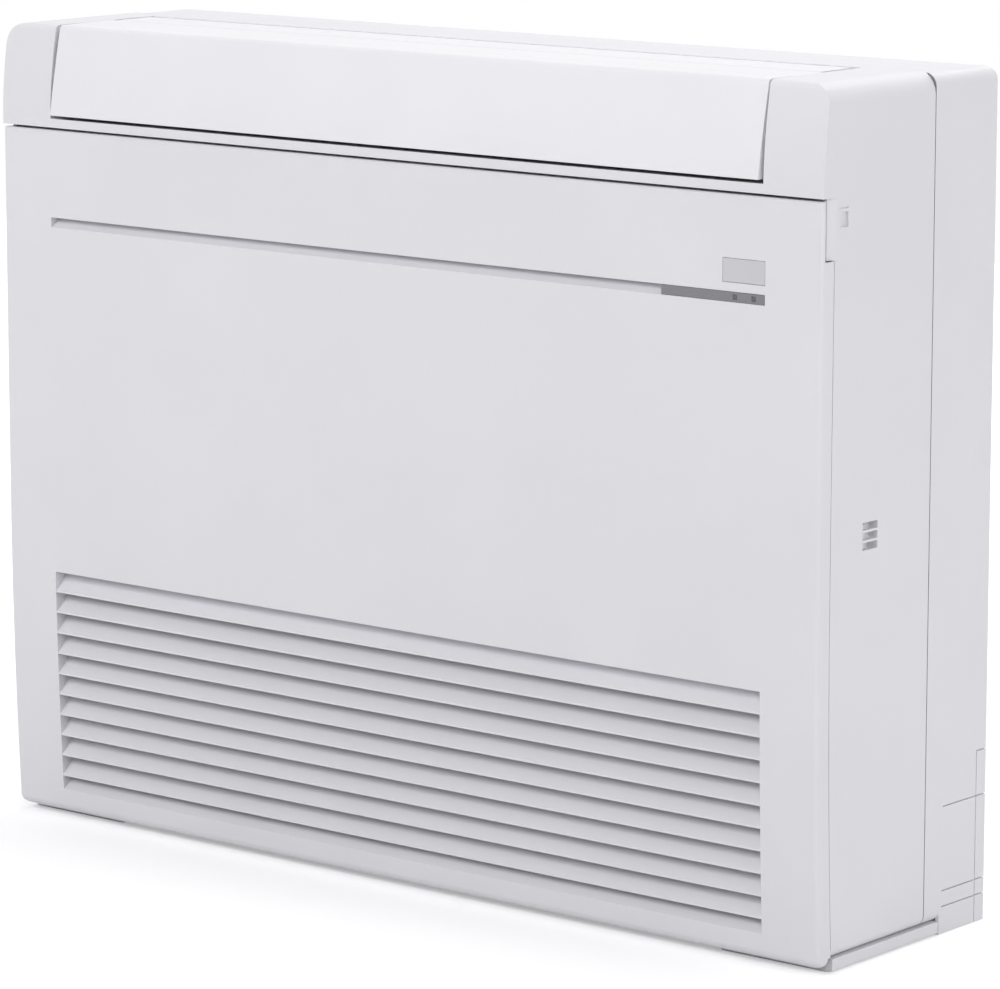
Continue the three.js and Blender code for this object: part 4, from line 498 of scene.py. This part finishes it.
EDGE_OF_NODE = dict.fromkeys(("front_casing", "rear_casing", "base_plinth"), CASING_EDGE)
EDGE_OF_SLOT = {
    "galvanised_steel": SHEET_EDGE, "board": SHEET_EDGE, "fin_aluminium": 0, "copper": 0, "brass": NUT_EDGE,
    "strip_plastic": TRIM_EDGE, "window_plastic": TRIM_EDGE, "lens_plastic": TRIM_EDGE,
}
DRAWN_ANEW = ("filter_left", "filter_right", "heat_exchanger", "fan")
copies = {}
for node in sorted(set(NODES) - set(DRAWN_ANEW)):
    slot = SLOT_OF[node]
    width = EDGE_OF_NODE.get(node, EDGE_OF_SLOT.get(slot, PLASTIC_EDGE))
    copies[node] = rounded_copy(node, width, ROUND_TUBE if slot == "copper" else SHARP)
print("rounded copies:", len(copies))

# %% [markdown]
# The score lines on the rear half mark the knock-outs for pipes and skirting. They are cut as deep as the
# wall allows, so that the plastic breaks out along them. From outside, the depth is what makes them dark.

# %% Score lines
NEAR = 0.05 * MM
SCORE_DEPTH = 0.8 * MM
SCORE_DEEPER = 0.9 * MM
SCORE_TOP = 0.13

rear_half = copies["rear_casing"]
rear_points = points_of(rear_half)
from_middle = np.abs(rear_points[:, 0])
under_skin = from_middle.max() - from_middle
floors = (np.abs(under_skin - SCORE_DEPTH) < NEAR) & (rear_points[:, 2] < SCORE_TOP)
rear_points[floors, 0] -= np.sign(rear_points[floors, 0]) * SCORE_DEEPER
rear_half.data.vertices.foreach_set("co", rear_points.ravel())
rear_half.data.update()
print("points on the floors of score lines:", int(floors.sum()))

# %% [markdown]
# ## Shapes from arrays
# The pieces that follow repeat one small form hundreds of times: threads, fins, blades. Duplicated
# objects would be slow, so each family is one mesh whose points come from a formula over index arrays:
# numpy works out all copies at once. Two helpers hold the bookkeeping of faces.

# %% Helpers for arrays of solids
BOX_CORNERS = np.array([(x, y, z) for x in (-1, 1) for y in (-1, 1) for z in (-1, 1)])
BOX_FACES = np.array([(0, 1, 3, 2), (4, 6, 7, 5), (0, 4, 5, 1), (2, 3, 7, 6), (0, 2, 6, 4), (1, 5, 7, 3)])


def bars(name, lows, highs):
    """Boxes between arrays of lowest and highest corners: corner = middle + sign times half the size."""
    lows, highs = np.broadcast_arrays(np.asarray(lows, float), np.asarray(highs, float))
    points = (lows + highs)[:, None] / 2 + BOX_CORNERS * (highs - lows)[:, None] / 2
    faces = BOX_FACES + 8 * np.arange(len(lows))[:, None, None]
    return new_object(name, points.reshape(-1, 3), faces.reshape(-1, 4))


def turn(count):
    """Evenly spaced angles once round."""
    return np.linspace(0, 2 * np.pi, count, endpoint=False)


def outward(piece):
    """Turns every face of a closed mesh to point out."""
    work = bmesh.new()
    work.from_mesh(piece.data)
    bmesh.ops.recalc_face_normals(work, faces=work.faces)
    work.to_mesh(piece.data)
    work.free()
    return piece


def skins(name, rings):
    """Solids skinned over an array [copy, ring, point]; the first and last ring are closed by a face."""
    copies, levels, count = rings.shape[:3]
    start = (np.arange(copies) * levels * count)[:, None, None]
    level = (np.arange(levels - 1) * count)[:, None]
    here = np.arange(count)
    ahead = (here + 1) % count
    corners = (level + here, level + ahead, level + count + ahead, level + count + here)
    sides = np.stack([start + corner for corner in corners], axis=-1).reshape(-1, 4)
    ends = np.concatenate([start[:, 0] + here, start[:, 0] + (levels - 1) * count + here])
    return outward(new_object(name, rings.reshape(-1, 3), sides.tolist() + ends.tolist()))


def hoops(name, grid):
    """Rings closed both ways, from an array [copy, corner of the section, angle]."""
    copies, rows, count = grid.shape[:3]
    row = np.arange(rows)[:, None]
    column = np.arange(count)
    start = (np.arange(copies) * rows * count)[:, None, None]

    def at(i, j):
        """Number of the point in row i and column j of every copy, both counted round."""
        return start + (i % rows) * count + j % count

    corners = (at(row, column), at(row, column + 1), at(row + 1, column + 1), at(row + 1, column))
    return outward(new_object(name, grid.reshape(-1, 3), np.stack(corners, axis=-1).reshape(-1, 4)))


def joined(name, pieces):
    """One object at the origin that holds the meshes of several."""
    mesh = bpy.data.meshes.new(name)
    work = bmesh.new()
    for piece in pieces:
        work.from_mesh(piece.data)
        bpy.data.objects.remove(piece)
    work.to_mesh(mesh)
    work.free()
    made = bpy.data.objects.new(name, mesh)
    bpy.context.scene.collection.objects.link(made)
    return made


# %% [markdown]
# ## Air filters
# A filter is a fine net of polypropylene threads in a stiff frame with cross bars and a tab to pull it
# by. A see-through texture would only look like a net from afar. Real threads are cheap when each
# is a box of twelve triangles: uprights lie in front of the cross threads by six tenths of a thickness.

# %% Filter frames and nets
RIM = 7 * MM
CROSS_BAR = 4 * MM
NET_PITCH = 1.9 * MM
THREAD = 0.34 * MM
THREAD_LAP = 0.4
BAR_INSET = 0.7 * MM
UPRIGHT_INSET = 0.98 * MM
TAB_WIDTH = 40 * MM
TAB_HEIGHT = 9 * MM
TAB_THICK = 1.8 * MM


def filter_frame(name, low, high):
    """Rim, two cross bars, a middle upright and the tab, each a bar between two corners."""
    (x0, y0, z0), (x1, y1, z1) = low, high
    z1 = z1 - TAB_HEIGHT
    middle = (x0 + x1) / 2
    lows = [(x0, y0, z0), (x0, y0, z1 - RIM), (x0, y0, z0 + RIM), (x1 - RIM, y0, z0 + RIM)]
    highs = [(x1, y1, z0 + RIM), (x1, y1, z1), (x0 + RIM, y1, z1 - RIM), (x1, y1, z1 - RIM)]
    for share in (1 / 3, 2 / 3):
        rise = z0 + (z1 - z0) * share
        lows.append((x0 + RIM, y0 + BAR_INSET, rise - CROSS_BAR / 2))
        highs.append((x1 - RIM, y1 - BAR_INSET, rise + CROSS_BAR / 2))
    lows.append((middle - CROSS_BAR / 2, y0 + UPRIGHT_INSET, z0 + RIM))
    highs.append((middle + CROSS_BAR / 2, y1 - UPRIGHT_INSET, z1 - RIM))
    lows.append((middle - TAB_WIDTH / 2, y0, z1 - MM))
    highs.append((middle + TAB_WIDTH / 2, y0 + TAB_THICK, z1 + TAB_HEIGHT))
    return bars(name, lows, highs)


def filter_net(name, low, high):
    """Square threads at an even pitch: uprights over x in one layer, cross threads over z in the next."""
    (x0, y0, z0), (x1, y1, z1) = low, high
    x0, x1, z0, z1 = x0 + RIM / 2, x1 - RIM / 2, z0 + RIM / 2, z1 - TAB_HEIGHT - RIM / 2
    depth = (y0 + y1) / 2
    across = np.arange(x0 + NET_PITCH, x1, NET_PITCH)
    up = np.arange(z0 + NET_PITCH, z1, NET_PITCH)
    upright_low = np.stack([across, np.full_like(across, depth - THREAD), np.full_like(across, z0)], axis=1)
    cross_low = np.stack([np.full_like(up, x0), np.full_like(up, depth - THREAD * THREAD_LAP), up], axis=1)
    return bars(name, np.concatenate([upright_low, cross_low]), np.concatenate([
        upright_low + (THREAD, THREAD, z1 - z0), cross_low + (x1 - x0, THREAD, THREAD),
    ]))


for side in ("left", "right"):
    node = "filter_" + side
    low, high = [np.array(corner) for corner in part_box(node)]
    rim = soft_edges(filter_frame(node + "_frame", low, high), PLASTIC_EDGE)
    stands_for(rim, node)
    net = filter_net(node + "_net", low, high)
    net.data.materials.append(FINISHES["filter_plastic"])
    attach(net, BODY_OF[node])
    print(node, "threads:", len(net.data.polygons) // 6)

# %% [markdown]
# ## Coil
# The coil is a pack of some three hundred thin aluminium fins, pressed in a shallow wave so that the air
# tumbles between them, with ten copper tubes through all of them. The block of the construction
# tells where its four corners lie as seen from the side. Each fin is a thin wavy sheet between them.

# %% Fins and tubes
FIN_PITCH = 1.7 * MM
FIN_THICK = 0.14 * MM
FIN_WAVE = 0.45 * MM
FIN_FOLDS = 5
TUBE_RADIUS = 3.6 * MM
TUBE_SIDES = 20
BEND_COUNT = 5
BEND_RADIUS = 10 * MM


def coil_fins(name, x0, x1, foot, across, up):
    """Fins at an even pitch; over the thickness s each steps to and fro in x as a triangle wave."""
    places = np.arange(x0 + FIN_PITCH, x1 - FIN_PITCH / 2, FIN_PITCH)
    s = np.linspace(0, 1, FIN_FOLDS * 2 + 1)
    wave = FIN_WAVE * np.abs((s * FIN_FOLDS) % 1 * 2 - 1)
    line = np.concatenate([wave, (wave - FIN_THICK)[::-1]])
    flat = foot + np.concatenate([s, s[::-1]])[:, None] * across
    rings = np.empty((len(places), 2, len(line), 3))
    rings[..., 0] = places[:, None, None] + line
    rings[:, 0, :, 1:] = flat
    rings[:, 1, :, 1:] = flat + up
    return skins(name, rings)


def coil_tubes(name, x0, x1, foot, across, up):
    """Straight tubes along x in pairs, each pair as far apart as the return bend that joins it."""
    length = np.hypot(*up)
    middles = (np.arange(BEND_COUNT) + 0.5) / BEND_COUNT * length
    heights = np.concatenate([middles - BEND_RADIUS, middles + BEND_RADIUS])
    centres = foot + across / 2 + heights[:, None] * up / length
    angle = turn(TUBE_SIDES)
    rings = np.empty((len(heights), 2, len(angle), 3))
    rings[:, 0, :, 0] = x0
    rings[:, 1, :, 0] = x1
    rings[..., 1] = (centres[:, :1] + TUBE_RADIUS * np.cos(angle))[:, None]
    rings[..., 2] = (centres[:, 1:] + TUBE_RADIUS * np.sin(angle))[:, None]
    return skins(name, rings)


block = points_of(NODES["heat_exchanger"])
coil_x = (block[:, 0].min(), block[:, 0].max())
side = block[:, 1:]
lowest, rearmost, foremost = side[side[:, 1].argmin()], side[side[:, 0].argmax()], side[side[:, 0].argmin()]
coil_place = (*coil_x, lowest, rearmost - lowest, foremost - lowest)
fins = stands_for(coil_fins("coil_fins", *coil_place), "heat_exchanger")
tubes = soft_edges(coil_tubes("coil_tubes", *coil_place), 0)
tubes.data.materials.append(FINISHES["copper"])
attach(tubes, BODY_OF["heat_exchanger"])
print("fins:", len(fins.data.polygons) // (4 * FIN_FOLDS + 4), "tubes:", BEND_COUNT * 2)

# %% [markdown]
# ## Fan wheel
# A cross-flow wheel is glued from short bays. Each bay has a ring of slim forward-curved blades, a little
# turned against the next bay, so that the blades don't all pass the tongue at once and hum. The blade is
# a function of its chord t: the radius grows from hub to rim while the angle falls with t squared.

# %% Wheel with its bays
BLADES = 35
BAYS = 9
BAY_TURN = math.radians(3.4)
HUB_SHARE = 35 / 47
TIP_SHARE = 0.985
BLADE_SWEEP = math.radians(-21)
BLADE_HALF = 0.62 * MM
DISC_THICK = 2.0 * MM
END_DISC_THICK = 2.5 * MM
DISC_SIDES = 72
RING_HOLE = 0.62
SHAFT = 4 * MM
SHAFT_SIDES = 32
HUB_LAP = 0.9
NEAR_RIM = 0.95


def around(radius, angle):
    """Depth and height, from the wheel's axis, of a radius and an angle."""
    return np.stack([radius * np.cos(angle), radius * np.sin(angle)], axis=-1)


def fan_blades(name, x0, x1, rim):
    """Every blade of every bay: angle = turn of its blade and bay + sweep t squared, thinner at both ends."""
    t = np.linspace(0, 1, 9)
    radius = rim * (HUB_SHARE + (TIP_SHARE - HUB_SHARE) * t)
    half = BLADE_HALF * (0.45 + 0.55 * np.sin(np.pi * (0.1 + 0.8 * t))) / radius
    angle = BLADE_SWEEP * t ** 2
    section = np.concatenate([angle + half, (angle - half)[::-1]])
    radii = np.concatenate([radius, radius[::-1]])
    turns = np.arange(BLADES) * 2 * np.pi / BLADES + (np.arange(BAYS) * BAY_TURN)[:, None]
    ends = np.linspace(x0, x1, BAYS + 1)
    rings = np.empty((BAYS, BLADES, 2, len(section), 3))
    rings[:, :, 0, :, 0] = ends[:-1, None, None]
    rings[:, :, 1, :, 0] = ends[1:, None, None]
    rings[..., 1:] = around(radii, turns[..., None] + section)[:, :, None]
    return skins(name, rings.reshape(-1, 2, len(section), 3))


def fan_discs(name, x0, x1, rim):
    """Flat rings between the bays and full discs at the ends, as hoops of a square section."""
    places = np.linspace(x0, x1, BAYS + 1)
    thick = np.full(BAYS + 1, DISC_THICK)
    thick[[0, -1]] = END_DISC_THICK
    starts = np.clip(places - thick / 2, x0, x1 - thick)
    inner = np.full(BAYS + 1, rim * RING_HOLE)
    inner[[0, -1]] = SHAFT * HUB_LAP
    angle = turn(DISC_SIDES)
    x = np.stack([starts, starts + thick, starts + thick, starts], axis=1)
    radius = np.stack([np.full(BAYS + 1, rim)] * 2 + [inner] * 2, axis=1)
    grid = np.empty((BAYS + 1, 4, len(angle), 3))
    grid[..., 0] = x[..., None]
    grid[..., 1:] = around(radius[..., None], angle)
    return hoops(name, grid)


def rods_on_axis(name, spans, radius):
    """Round bars along x about the axis, one for each span."""
    angle = turn(SHAFT_SIDES)
    rings = np.empty((len(spans), 2, len(angle), 3))
    rings[..., 0] = np.asarray(spans)[..., None]
    rings[..., 1:] = around(radius, angle)
    return skins(name, rings)


fan_low, fan_high = [np.array(corner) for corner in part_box("fan")]
fan_axis = (fan_low + fan_high) / 2 * (0, 1, 1)
fan_rim = (fan_high[2] - fan_low[2]) / 2
wheel_points = points_of(NODES["fan"])
at_rim = wheel_points[np.hypot(*(wheel_points - fan_axis)[:, 1:].T) > fan_rim * NEAR_RIM]
wheel = (at_rim[:, 0].min(), at_rim[:, 0].max(), fan_rim)
shafts = [(fan_low[0], wheel[0] + MM), (wheel[1] - MM, fan_high[0])]
fan = joined("fan_wheel", [
    fan_blades("fan_blades", *wheel),
    fan_discs("fan_discs", *wheel),
    rods_on_axis("fan_shaft", shafts, SHAFT),
])
fan.data.transform(Matrix.Translation(fan_axis))
stands_for(soft_edges(fan, 0), "fan")
print("blades:", BLADES * BAYS)
